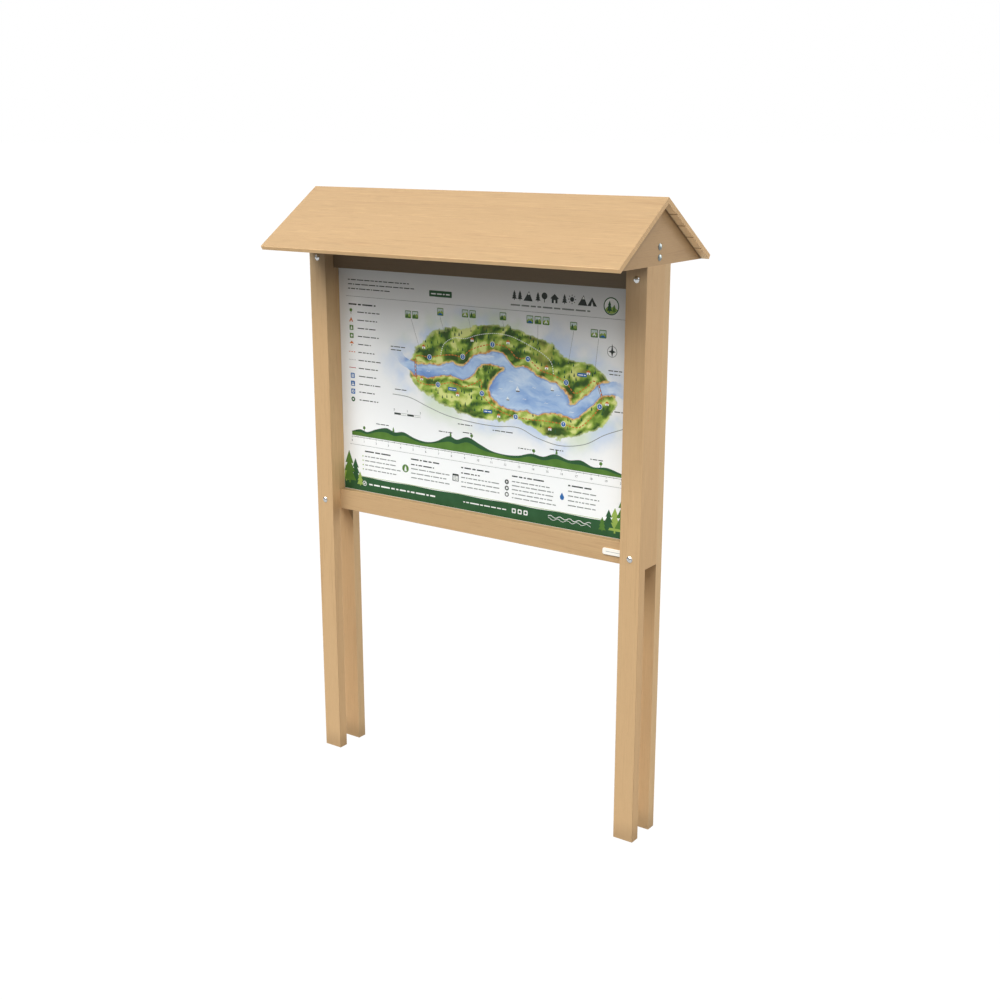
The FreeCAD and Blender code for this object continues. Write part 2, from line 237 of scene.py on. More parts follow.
def post_head(t, base, pos, axes, va, b, nrm):
    """Legs: painted shade close under the roof, most of all on the front, with cool tints there and a warmer cast
    painted on the side faces; painted shade at the top of the slots, below the rail's end and in the angle with the
    dark rail; painted light on the side of the left leg that faces the panel and low on the rear planks' fronts.
    """
    x, y, z = t.xyz(pos)
    drop = t.math("SUBTRACT", 1.820, z)
    ahead = t.vmath("DOT_PRODUCT", nrm, (0.0, -1.0, 0.0))
    face = t.math("MULTIPLY", t.remap(ahead, 0.5, 0.9), t.remap(y, -0.060, -0.066))
    # painted shade of the roof on the top of the legs, strongest on the fronts, with cool tints there
    gain = t.remap(drop, 0.0, 0.32, 0.86, 1.0)
    roof_shade = t.math("MULTIPLY", t.remap(drop, 0.0, 0.13, 1.0, 0.0), face)
    base = t.mix(t.math("MULTIPLY", roof_shade, 0.9), base, t.mix(1.0, base, (1.0, 1.07, 1.17, 1.0), "MULTIPLY"))
    base = t.mix(t.math("MULTIPLY", t.math("MULTIPLY", t.remap(drop, 0.10, 0.32, 1.0, 0.0), face), t.remap(x, 0.0, -0.4)), base, t.mix(1.0, base, (1.03, 1.08, 1.15, 1.0), "MULTIPLY"))
    base = t.mix(t.math("MULTIPLY", t.math("MULTIPLY", t.remap(drop, 0.05, 0.38, 1.0, 0.0), face), t.remap(x, 0.0, 0.4)), base, t.mix(1.0, base, (1.05, 1.06, 1.11, 1.0), "MULTIPLY"))
    # a warmer cast painted on the side faces, to suit the shade there
    beside = t.remap(t.math("ABSOLUTE", t.vmath("DOT_PRODUCT", nrm, (1.0, 0.0, 0.0))), 0.5, 0.9)
    base = t.mix(beside, base, t.mix(1.0, base, (1.015, 0.99, 0.955, 1.0), "MULTIPLY"))
    # more painted shade: the very top of the fronts, a band on the right leg, a diagonal on the left leg, the top of
    # the slots
    rim = t.math("MULTIPLY", t.remap(drop, 0.0, 0.050, 0.40, 0.0), face)
    right = t.math("MULTIPLY", t.math("MULTIPLY", t.remap(drop, 0.05, 0.20, 0.0, 0.16), t.remap(drop, 0.36, 0.85, 1.0, 0.0)), t.math("MULTIPLY", face, t.remap(x, 0.0, 0.4)))
    left = t.math("MULTIPLY", t.math("MULTIPLY", t.remap(t.math("ADD", drop, t.math("MULTIPLY", x, -1.4)), 0.84, 0.99, 0.32, 0.0), face), t.remap(x, 0.0, -0.4))
    slot = t.math("MULTIPLY", t.math("MULTIPLY", t.math("MULTIPLY", t.remap(z, 0.60, 0.86, 0.0, 0.22), t.remap(x, 0.0, -0.4, 1.0, 0.15)), t.remap(z, 0.915, 0.905)), t.math("MULTIPLY", t.remap(y, 0.0, 0.02), t.remap(ahead, 0.5, 0.9)))
    # a wedge of shade below the rail's end, on the rear plank of the left leg
    reach = t.math("ADD", t.math("SUBTRACT", 0.905, z), t.math("MULTIPLY", t.math("SUBTRACT", -0.580, x), 1.68))
    wedge = t.math("MULTIPLY", t.math("MULTIPLY", t.remap(reach, 0.067, 0.053, 0.0, 0.42), t.remap(z, 0.909, 0.906)), t.math("MULTIPLY", t.math("MULTIPLY", t.remap(y, 0.0, 0.02), t.remap(x, 0.0, -0.4)), t.remap(ahead, 0.5, 0.9)))
    for part in (rim, right, left, slot, wedge):
        gain = t.math("MULTIPLY", gain, t.math("SUBTRACT", 1.0, part))
    # painted light on the side of the left leg that looks at the panel, with a cool cast, and painted shade just below
    # the rail
    inner = t.math("MULTIPLY", t.math("MULTIPLY", t.remap(t.vmath("DOT_PRODUCT", nrm, (1.0, 0.0, 0.0)), 0.5, 0.9), t.remap(x, 0.0, -0.4)),
                   t.math("ADD", t.math("MULTIPLY", t.remap(drop, 0.0, 0.90, 0.12, 0.30, smooth=False), t.remap(z, 0.90, 0.98)), t.remap(z, 0.86, 0.92, -0.08, 0.0)))
    gain = t.math("MULTIPLY", gain, t.math("ADD", 1.0, inner))
    facing = t.math("MULTIPLY", t.math("MULTIPLY", t.remap(t.vmath("DOT_PRODUCT", nrm, (1.0, 0.0, 0.0)), 0.5, 0.9), t.remap(x, 0.0, -0.4)), t.remap(z, 0.90, 0.95))
    base = t.mix(facing, base, t.mix(1.0, base, (0.99, 1.03, 1.07, 1.0), "MULTIPLY"))
    gain = t.math("MULTIPLY", gain, t.math("ADD", 1.0, t.math("MULTIPLY", t.math("MULTIPLY", facing, 0.07), t.remap(z, 1.25, 1.05))))
    # painted shade on the sides of the left leg's rear plank, and painted light on the rear planks' fronts near the
    # ground
    gain = t.math("MULTIPLY", gain, t.math("SUBTRACT", 1.0, t.math("MULTIPLY", t.math("MULTIPLY", beside, 0.06), t.math("MULTIPLY", t.remap(y, 0.030, 0.036), t.remap(x, 0.0, -0.4)))))
    gain = t.math("MULTIPLY", gain, t.math("ADD", 1.0, t.math("MULTIPLY", t.math("MULTIPLY", t.remap(z, 0.45, 0.05, 0.0, 0.09), t.remap(y, 0.0, 0.02)), t.remap(ahead, 0.5, 0.9))))
    # painted shade on both inner sides, in the angle with the dark rail, with a cool tint
    nook_shade = t.math("MULTIPLY", t.remap(t.math("ABSOLUTE", x), 0.5815, 0.5805), t.remap(drop, 0.04, 0.17, 0.38, 0.0))
    gain = t.math("MULTIPLY", gain, t.math("SUBTRACT", 1.0, nook_shade))
    base = t.mix(t.math("MULTIPLY", nook_shade, 2.4, clamp=True), base, t.mix(1.0, base, (1.0, 1.06, 1.20, 1.0), "MULTIPLY"))
    return t.vmath("SCALE", base, scale=gain)


def rail_top(t, base, pos, axes, va, b, nrm):
    """Lower front rail: painted shade on the ledge under the panel, and a painted shadow line below the plate."""
    ledge = t.remap(t.vmath("DOT_PRODUCT", nrm, (0.0, 0.0, 1.0)), 0.5, 0.9, 0.0, 0.28)
    # a painted shadow below the plate, which stands 3 mm proud
    x, _, z = t.xyz(pos)
    plate_shadow = t.math("MULTIPLY", t.math("MULTIPLY", t.remap(z, 0.9225, 0.9255), t.remap(z, 0.9290, 0.9285)), t.math("MULTIPLY", t.remap(x, 0.4985, 0.5030), t.remap(x, 0.5760, 0.5740)))
    plate_shadow = t.math("MULTIPLY", t.math("MULTIPLY", plate_shadow, 0.34), t.remap(t.vmath("DOT_PRODUCT", nrm, (0.0, -1.0, 0.0)), 0.5, 0.9))
    base = t.vmath("SCALE", base, scale=t.math("SUBTRACT", 1.0, plate_shadow))
    return t.vmath("SCALE", base, scale=t.math("SUBTRACT", 1.0, ledge))


def top_rail(t, base, pos, axes, va, b, nrm):
    """Upper front rail: its painted shade turns paler and bluer towards its right end."""
    shade_shift = t.remap(t.xyz(pos)[0], -0.55, 0.55, smooth=False)
    return t.mix(1.0, base, t.mix(shade_shift, (0.99, 0.95, 0.93, 1.0), (1.16, 1.23, 1.36, 1.0)), "MULTIPLY")


def timber(name, frame_axes, origin, lo, hi, seed, tone=1.0, foot=False, extra=None, specular=0.20, tint=(1.0, 1.0, 1.0)):
    """Planed timber. frame_axes are three unit vectors (along the grain, across the face, into the thickness);
    lo and hi are the piece's extents along them from origin, used to find its edges and ends."""
    m, t = new_material(name)
    pos = t.add("ShaderNodeTexCoord").outputs["Object"]
    rel = t.vmath("SUBTRACT", pos, origin)
    a, b, c = (t.vmath("DOT_PRODUCT", rel, ax) for ax in frame_axes)
    rnd = random.Random(seed)
    oa, ob, oc = (rnd.uniform(-40, 40) for _ in range(3))
    va = t.math("ADD", a, oa)
    vb = t.math("ADD", b, ob)
    vc = t.math("ADD", c, oc)
    # slow wander of the grain, so that streaks aren't ruled lines
    wander = t.noise(t.vec(t.math("MULTIPLY", va, 1.6), t.math("MULTIPLY", vb, 6.0), t.math("MULTIPLY", vc, 6.0)), 1.0, 2.0)
    wob = t.math("MULTIPLY", t.math("SUBTRACT", wander, 0.5), 0.012)
    wb = t.math("ADD", vb, wob)
    wc = t.math("ADD", vc, wob)

    def streak(along, across, detail, rough=0.55):
        return t.noise(t.vec(t.math("MULTIPLY", va, along), t.math("MULTIPLY", wb, across), t.math("MULTIPLY", wc, across)), 1.0, detail, rough)

    broad = streak(1.7, 26.0, 3.0)
    medium = streak(7.5, 210.0, 3.0, 0.6)
    fibre = streak(24.0, 900.0, 2.0, 0.6)
    pores = streak(42.0, 1250.0, 1.0, 0.4)
    # growth rings: concentric bands round a heart that lies off the piece
    hb, hc = rnd.uniform(-0.05, 0.05), rnd.choice((-1, 1)) * rnd.uniform(0.05, 0.11)
    rb = t.math("SUBTRACT", t.math("ADD", b, t.math("MULTIPLY", t.math("SUBTRACT", wander, 0.5), 0.030)), hb)
    rc = t.math("SUBTRACT", t.math("ADD", c, t.math("MULTIPLY", t.math("SUBTRACT", broad, 0.5), 0.020)), hc)
    radius = t.math("SQRT", t.math("ADD", t.math("MULTIPLY", rb, rb), t.math("MULTIPLY", rc, rc)))
    rings = t.math("SINE", t.math("MULTIPLY", radius, 2 * math.pi / 0.0065))
    rings = t.remap(rings, -0.2, 1.0)

    light = rgb(218, 183, 138)
    mid = rgb(208, 173, 128)
    dark = rgb(192, 155, 112)
    light, mid, dark = (tuple(min(1.0, x * tone * c) for x, c in zip(k, tint)) for k in (light, mid, dark))
    f = t.math("ADD", t.math("MULTIPLY", medium, 0.50), t.math("MULTIPLY", broad, 0.35))
    f = t.math("ADD", f, t.math("MULTIPLY", fibre, 0.15))
    base = t.ramp(f, [(0.30, dark), (0.47, mid), (0.56, mid), (0.72, light)])
    base = t.mix(t.math("MULTIPLY", rings, 0.10), base, (*dark, 1.0))
    pore = t.remap(pores, 0.60, 0.74)
    base = t.mix(t.math("MULTIPLY", pore, 0.20), base, (*[x * 0.62 for x in dark], 1.0))

    # distance to the nearest edge of the piece, for paler arrises and cut ends
    def to_side(v, l, h):
        return t.math("MINIMUM", t.math("ABSOLUTE", t.math("SUBTRACT", v, l)), t.math("ABSOLUTE", t.math("SUBTRACT", h, v)))

    da, db, dc = to_side(a, lo[0], hi[0]), to_side(b, lo[1], hi[1]), to_side(c, lo[2], hi[2])
    least = t.math("MINIMUM", t.math("MINIMUM", da, db), dc)
    most = t.math("MAXIMUM", t.math("MAXIMUM", da, db), dc)
    middle = t.math("SUBTRACT", t.math("SUBTRACT", t.math("ADD", t.math("ADD", da, db), dc), least), most)
    chew = t.noise(t.vec(t.math("MULTIPLY", va, 30.0), t.math("MULTIPLY", vb, 60.0), t.math("MULTIPLY", vc, 60.0)), 1.0, 3.0)
    arris = t.remap(t.math("ADD", middle, t.math("MULTIPLY", chew, 0.0022)), 0.0008, 0.0034, 1.0, 0.0)
    base = t.mix(t.math("MULTIPLY", arris, 0.30), base, (*[min(1.0, x * 1.10) for x in light], 1.0))

    # end grain, where the face looks along the grain
    nrm = t.add("ShaderNodeNewGeometry").outputs["True Normal"]
    end = t.remap(t.math("ABSOLUTE", t.vmath("DOT_PRODUCT", nrm, frame_axes[0])), 0.80, 0.95)
    speck = t.noise(t.vec(t.math("MULTIPLY", va, 50.0), t.math("MULTIPLY", vb, 900.0), t.math("MULTIPLY", vc, 900.0)), 1.0, 2.0)
    end_col = t.mix(t.math("MULTIPLY", rings, 0.55), (*[x * 0.86 for x in mid], 1.0), (*[x * 0.82 for x in dark], 1.0))
    end_col = t.mix(t.remap(speck, 0.55, 0.75, 0.0, 0.35), end_col, (*[x * 0.55 for x in dark], 1.0))
    base = t.mix(end, base, end_col)

    # faint handling and weather marks
    stain = t.noise(t.vec(t.math("MULTIPLY", va, 3.0), t.math("MULTIPLY", vb, 7.0), t.math("MULTIPLY", vc, 7.0)), 1.0, 4.0, 0.6)
    base = t.mix(t.remap(stain, 0.55, 0.85, 0.0, 0.10), base, (*[x * 0.72 for x in mid], 1.0))
    if foot:
        z = t.xyz(pos)[2]
        damp = t.remap(t.math("ADD", z, t.math("MULTIPLY", stain, -0.05)), -0.02, 0.055, 0.30, 0.0)
        base = t.mix(damp, base, (*rgb(120, 98, 74), 1.0))
    if extra:
        base = extra(t, base, pos, frame_axes, va, b, nrm)

    height = t.math("ADD", t.math("MULTIPLY", fibre, 0.5), t.math("MULTIPLY", medium, 0.5))
    height = t.math("SUBTRACT", height, t.math("MULTIPLY", pore, 0.6))
    height = t.math("ADD", height, t.math("MULTIPLY", rings, 0.12))
    smooth = None
    if extra is boarded:
        # eave edge: softened so that it turns slightly towards the front
        turn = t.math("MULTIPLY", t.remap(t.vmath("DOT_PRODUCT", nrm, frame_axes[1]), 0.45, 0.85), 0.30)
        lift = t.vmath("SCALE", (0.0, 0.0, 1.0), scale=turn)
        smooth = t.vmath("NORMALIZE", t.vmath("ADD", t.add("ShaderNodeNewGeometry").outputs["Normal"], lift))
    normal = t.bump(height, 0.35, 0.00035, smooth)
    rough = t.math("ADD", t.remap(medium, 0.3, 0.7, 0.50, 0.62, smooth=False), t.math("MULTIPLY", pore, 0.12))
    rough = t.math("ADD", rough, t.math("MULTIPLY", end, 0.16), clamp=True)
    t.principled(base, rough, normal, specular=specular)
    return m


X, Y, Z = (1.0, 0.0, 0.0), (0.0, 1.0, 0.0), (0.0, 0.0, 1.0)
GRAIN = {}
for n in ("left_front_post", "right_front_post", "left_rear_post", "right_rear_post", "left_filler_post", "right_filler_post"):
    GRAIN[n] = (Z, X, Y)
for n in ("bottom_front_rail", "bottom_rear_rail", "top_front_rail", "top_rear_rail", "tie_beam", "rail_packers"):
    GRAIN[n] = (X, Z, Y)
for n in ("left_gable", "right_gable"):
    GRAIN[n] = (Y, Z, X)
for s in ("left", "right"):
    GRAIN[s + "_front_cleat"] = ((0.0, -CO, -SI), X, (0.0, SI, -CO))
    GRAIN[s + "_rear_cleat"] = ((0.0, CO, -SI), X, (0.0, -SI, -CO))
for i in range(1, 6):
    GRAIN["front_roof_board_%d" % i] = (X, (0.0, -CO, -SI), (0.0, SI, -CO))
    GRAIN["rear_roof_board_%d" % i] = (X, (0.0, CO, -SI), (0.0, -SI, -CO))

tones = random.Random(11)
for n in sorted(GRAIN):
    ob = NODES[n]
    axes = GRAIN[n]
    co = np.array([v.co for v in ob.data.vertices], float)
    origin = (0.0, 0.0, RIDGE_Z) if ("roof" in n or "cleat" in n) else (0.0, 0.0, 0.0)
    ext = (co - np.array(origin)) @ np.array(axes).T
    lo, hi = ext.min(0), ext.max(0)
    tone = tones.uniform(0.975, 1.025)
    tone *= 0.94
    tint, extra = (1.0, 1.0, 1.0), None
    # roof boards are drawn darker, a painted shade so that their brightly lit tops come out right; boarded() paints
    # undersides, eave and ends paler again
    if "roof" in n:
        tone, extra = tone * 0.775, boarded
    # top rails: a very dark, cool colour that stands in for the deep shade under the roof (painted shade)
    if n.startswith("top_"):
        tone, tint = tone * 0.325, (0.87, 1.0, 1.24)
    # gables are drawn darker: painted shade of the roof's overhang
    if "gable" in n:
        tone, extra = tone * 0.74, under_roof
    # rear posts are drawn paler and cooler: painted light and a cool painted shade tint for their shaded fronts
    if n.endswith("rear_post"):
        tone, tint = tone * 1.08, (0.98, 1.03, 1.08)
    if n.endswith("_post"):
        extra = post_head
    if n == "bottom_front_rail":
        tone, extra = tone * 0.953, rail_top
    if n == "right_front_post":
        tone *= 1.03
    if n == "top_front_rail":
        extra = top_rail
    mat = timber("timber_" + n, axes, origin, [float(v) for v in lo], [float(v) for v in hi], sum(map(ord, n)) * 7 + len(n), tone, foot=n.endswith("front_post") or n.endswith("rear_post"),
                 extra=extra, specular=0.10 if n.startswith("top_") else 0.20, tint=tint)
    ob.data.materials.clear()
    ob.data.materials.append(mat)
    if n == "rail_packers":
        continue
    w = ob.modifiers.new("weld", "WELD")
    w.merge_threshold = 1e-5
    bv = ob.modifiers.new("arris", "BEVEL")
    bv.width = 0.0006
    bv.segments = 2
    bv.limit_method = "ANGLE"
    bv.angle_limit = math.radians(50)
    bv.harden_normals = True


# ------------------------------------------------------------------ steel
def steel(name, seed, shade=1.0, cast=(1.0, 1.0, 1.0), dull=0.0):
    m, t = new_material(name)
    pos = t.add("ShaderNodeTexCoord").outputs["Object"]
    p = t.vmath("ADD", pos, (seed * 1.7, seed * 2.3, seed * 0.9))
    fine = t.noise(t.vmath("MULTIPLY", p, (700.0, 700.0, 2600.0)), 1.0, 2.0)
    cloud = t.noise(t.vmath("SCALE", p, scale=180.0), 1.0, 3.0)
    spangle = t.voronoi(t.vmath("SCALE", p, scale=420.0), 1.0, out="Color")
    sp = t.xyz(spangle)[0]
    col = t.mix(t.remap(cloud, 0.35, 0.7), (*[x * shade * c for x, c in zip(rgb(224, 226, 225), cast)], 1.0), (*[x * shade * c for x, c in zip(rgb(200, 203, 203), cast)], 1.0))
    col = t.mix(t.math("MULTIPLY", sp, 0.12), col, (*rgb(176, 182, 188), 1.0))
    rough = t.math("ADD", t.remap(fine, 0.3, 0.7, 0.14 + dull, 0.24 + dull, smooth=False), t.math("MULTIPLY", cloud, 0.08))
    t.principled(col, rough, t.bump(fine, 0.12, 0.00004), metallic=1.0, specular=0.5)
    return m


for k, n in enumerate(("post_bolts", "post_washers", "post_nuts", "gable_bolts", "beam_screws", "rail_screws", "cleat_screws", "roof_screws")):
    NODES[n].data.materials.clear()
    # the gable bolts are drawn darker and cooler than the others as painted shade, and are a little rougher
    shade, cast, dull = {"post_washers": (0.92, (1.0, 1.0, 1.0), 0.05), "gable_bolts": (0.36, (0.93, 1.05, 1.03), 0.10)}.get(n, (1.0, (1.0, 1.0, 1.0), 0.0))
    NODES[n].data.materials.append(steel("zinc_" + n, k + 1, shade, cast, dull))


# ------------------------------------------------------------------ panel body and blank plate
def laminate(name, tint, seed, rough_lo=0.30, rough_hi=0.42, rule=None):
    m, t = new_material(name)
    pos = t.add("ShaderNodeTexCoord").outputs["Object"]
    p = t.vmath("ADD", pos, (seed, -seed, seed * 0.5))
    soft = t.noise(t.vmath("SCALE", p, scale=6.0), 1.0, 4.0)
    grain = t.noise(t.vmath("SCALE", p, scale=1400.0), 1.0, 2.0)
    col = t.mix(t.remap(soft, 0.35, 0.75, 0.0, 0.5), (*rgb(*tint), 1.0), (*[x * 0.93 for x in rgb(*tint)], 1.0))
    if rule:
        # one thin ruled line along the middle of the face, with rounded ends
        x, y, z = t.xyz(pos)
        x0, x1, zc, half = rule
        past = t.math("MAXIMUM", t.math("MAXIMUM", t.math("SUBTRACT", x0, x), t.math("SUBTRACT", x, x1)), 0.0)
        off = t.math("SUBTRACT", z, zc)
        reach = t.math("SQRT", t.math("ADD", t.math("MULTIPLY", past, past), t.math("MULTIPLY", off, off)))
        ruled = t.math("MULTIPLY", t.remap(reach, half, half - 0.0002), t.remap(y, -0.0303, -0.0306))
        col = t.mix(t.math("MULTIPLY", ruled, 0.70), col, (*rgb(126, 138, 140), 1.0))
        # painted shade where the edge of the plate meets the rail
        col = t.mix(t.remap(y, -0.0288, -0.0281, 0.0, 0.45), col, (*rgb(120, 104, 84), 1.0))
    rough = t.math("ADD", t.remap(soft, 0.3, 0.7, rough_lo, rough_hi, smooth=False), t.math("MULTIPLY", grain, 0.05))
    t.principled(col, rough, t.bump(grain, 0.10, 0.00005), specular=0.4)
    return m


NODES["info_panel"].data.materials.clear()
NODES["info_panel"].data.materials.append(laminate("panel_laminate", (196, 199, 198), 3.0))
NODES["label_plate"].data.materials.clear()
NODES["label_plate"].data.materials.append(laminate("plate_enamel", (252, 248, 238), 9.0, 0.22, 0.32, (0.509, 0.566, 0.93825, 0.0011)))

# ------------------------------------------------------------------ printed face of the panel
# (u, v) are millimetres from the lower left corner of the face that shows between posts and rails.
FACE_Y = -3.12


class Ink:
    """Collects closed thin prisms of one colour and joins them into one object."""

    def __init__(self, name, color, seed):
        self.name, self.color, self.seed = name, color, seed
        self.bm = bmesh.new()

    def poly(self, pts, layer=1):
        yb, yf = (FACE_Y + 0.02) / 1000.0, (FACE_Y - 0.08 * layer) / 1000.0
        pts = [q for i, q in enumerate(pts) if math.hypot(q[0] - pts[i - 1][0], q[1] - pts[i - 1][1]) > 1e-3]
        co = [(u / 1000.0 - 0.58, v / 1000.0 + 0.975) for u, v in pts]
        area = sum(a[0] * b[1] - b[0] * a[1] for a, b in zip(co, co[1:] + co[:1]))
        if area < 0:
            co.reverse()
        f = [self.bm.verts.new((x, yf, z)) for x, z in co]
        b = [self.bm.verts.new((x, yb, z)) for x, z in co]
        n = len(co)
        self.bm.faces.new(f)
        self.bm.faces.new(b[::-1])
        for i in range(n):
            j = (i + 1) % n
            self.bm.faces.new((f[j], f[i], b[i], b[j]))

    def rect(self, u, v, w, h, layer=1, r=0.0, turn=0.0):
        if r <= 0:
            pts = [(0, 0), (w, 0), (w, h), (0, h)]
        else:
            r = min(r, w / 2 - 1e-3, h / 2 - 1e-3)
            pts = []
            for cx, cy, a0 in ((w - r, r, -90), (w - r, h - r, 0), (r, h - r, 90), (r, r, 180)):
                for k in range(5):
                    a = math.radians(a0 + 22.5 * k)
                    pts.append((cx + r * math.cos(a), cy + r * math.sin(a)))
        if turn:
            c, s = math.cos(turn), math.sin(turn)
            pts = [(x * c - y * s, x * s + y * c) for x, y in pts]
        self.poly([(u + x, v + y) for x, y in pts], layer)

    def disc(self, u, v, r, layer=1, n=24, squash=1.0):
        self.poly([(u + r * math.cos(2 * math.pi * k / n), v + squash * r * math.sin(2 * math.pi * k / n)) for k in range(n)], layer)

    def strip(self, left, right, layer=1, closed=False):
        """One closed solid ribbon between two rows of points."""
        yb, yf = (FACE_Y + 0.02) / 1000.0, (FACE_Y - 0.08 * layer) / 1000.0
        lf, rf, lb, rb = ([self.bm.verts.new((u / 1000.0 - 0.58, y, v / 1000.0 + 0.975)) for u, v in row] for row, y in ((left, yf), (right, yf), (left, yb), (right, yb)))
        n = len(left)
        for i in range(n if closed else n - 1):
            j = (i + 1) % n
            self.bm.faces.new((lf[i], rf[i], rf[j], lf[j]))
            self.bm.faces.new((lb[j], rb[j], rb[i], lb[i]))
            self.bm.faces.new((lf[j], lb[j], lb[i], lf[i]))
            self.bm.faces.new((rf[i], rb[i], rb[j], rf[j]))
        if not closed:
            self.bm.faces.new((lf[0], lb[0], rb[0], rf[0]))
            self.bm.faces.new((rf[-1], rb[-1], lb[-1], lf[-1]))

    def ring(self, u, v, r0, r1, layer=1, n=28):
        arc = [2 * math.pi * k / n for k in range(n)]
        self.strip([(u + r0 * math.cos(a), v + r0 * math.sin(a)) for a in arc], [(u + r1 * math.cos(a), v + r1 * math.sin(a)) for a in arc], layer, True)

    def line(self, pts, w, layer=1):
        pts = [q for i, q in enumerate(pts) if i == 0 or math.hypot(q[0] - pts[i - 1][0], q[1] - pts[i - 1][1]) > 1e-3]
        if len(pts) < 2:
            return
        left, right = [], []
        for i, (x, y) in enumerate(pts):
            ax, ay = pts[max(i - 1, 0)]
            bx, by = pts[min(i + 1, len(pts) - 1)]
            d0, d1 = math.hypot(x - ax, y - ay), math.hypot(bx - x, by - y)
            tx = (x - ax) / d0 if d0 > 0 else 0.0
            ty = (y - ay) / d0 if d0 > 0 else 0.0
            sx = (bx - x) / d1 if d1 > 0 else 0.0
            sy = (by - y) / d1 if d1 > 0 else 0.0
            mx, my = tx + sx, ty + sy
            m = math.hypot(mx, my) or 1e-6
            nx, ny = -my / m, mx / m
            grow = 1.0 if d0 == 0 or d1 == 0 else min(1.6, 1.0 / max(0.3, m / 2))
            left.append((x + nx * w / 2 * grow, y + ny * w / 2 * grow))
            right.append((x - nx * w / 2 * grow, y - ny * w / 2 * grow))
        self.strip(left, right, layer)

    def dashes(self, pts, w, dash, gap, layer=1):
        """Dashes of a given length along a smooth path."""
        run, on, seg = 0.0, True, [pts[0]]
        for (x0, y0), (x1, y1) in zip(pts, pts[1:]):
            L = math.hypot(x1 - x0, y1 - y0)
            at = 0.0
            while at < L:
                need = (dash if on else gap) - run
                if need <= L - at:
                    at += need
                    p = (x0 + (x1 - x0) * at / L, y0 + (y1 - y0) * at / L)
                    if on:
                        seg.append(p)
                        self.line(seg, w, layer)
                    seg, run, on = [p], 0.0, not on
                else:
                    run += L - at
                    at = L
                    if on:
                        seg.append((x1, y1))

    def digits(self, text, u, v, h, layer=2):
        cu = bpy.data.curves.new("digits", "FONT")
        cu.body, cu.size, cu.align_x, cu.align_y = text, h * 1.38, "CENTER", "CENTER"
        cu.extrude, cu.resolution_u = 0.05, 3
        tmp = bpy.data.objects.new("digits", cu)
        me = bpy.data.meshes.new_from_object(tmp)
        yf = FACE_Y - 0.08 * layer
        for p in me.vertices:
            x, y, zz = p.co
            p.co = ((u + x) / 1000.0 - 0.58, (yf + 0.05 - zz) / 1000.0, (v + y) / 1000.0 + 0.975)
        one = bmesh.new()
        one.from_mesh(me)
        bmesh.ops.remove_doubles(one, verts=one.verts, dist=1e-7)
        one.to_mesh(me)
        one.free()
        self.bm.from_mesh(me)
        bpy.data.meshes.remove(me)
        bpy.data.objects.remove(tmp)
        bpy.data.curves.remove(cu)

    def words(self, rng, u, v, width, h, layer=1, ragged=True):
        """A row of short plain bars, as long and as far apart as words are."""
        x, stop = u, u + width * (rng.uniform(0.84, 1.0) if ragged else 1.0)
        while stop - x > h * 0.7:
            w = min(h * rng.choice((1.1, 1.7, 2.3, 2.8, 3.4, 4.2, 5.2)), stop - x)
            self.rect(x, v + h * 0.14, w, h * 0.56, layer, r=h * 0.2)
            x += w + h * 0.62

    def finish(self):
        bmesh.ops.recalc_face_normals(self.bm, faces=self.bm.faces)
        me = bpy.data.meshes.new(self.name)
        self.bm.to_mesh(me)
        self.bm.free()
        ob = bpy.data.objects.new(self.name, me)
        scene.collection.objects.link(ob)
        m, t = new_material(self.name)
        pos = t.add("ShaderNodeTexCoord").outputs["Object"]
        p = t.vmath("ADD", pos, (self.seed * 0.37, self.seed * 0.11, self.seed * 0.23))
        tone = t.noise(t.vmath("SCALE", p, scale=22.0), 1.0, 3.0)
        grain = t.noise(t.vmath("SCALE", p, scale=900.0), 1.0, 2.0)
        c = rgb(*self.color)
        col = t.mix(t.remap(tone, 0.3, 0.7), (*[x * 0.90 for x in c], 1.0), (*[min(1.0, x * 1.08 + 0.004) for x in c], 1.0))
        col = t.mix(t.remap(grain, 0.45, 0.75, 0.0, 0.12), col, (*[x * 0.8 for x in c], 1.0))
        rough = t.math("ADD", t.remap(tone, 0.3, 0.7, 0.30, 0.42, smooth=False), t.math("MULTIPLY", grain, 0.06))
        t.principled(col, rough, t.bump(grain, 0.08, 0.00004), specular=0.2)
        me.materials.append(m)
        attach(ob, "root")
        return ob


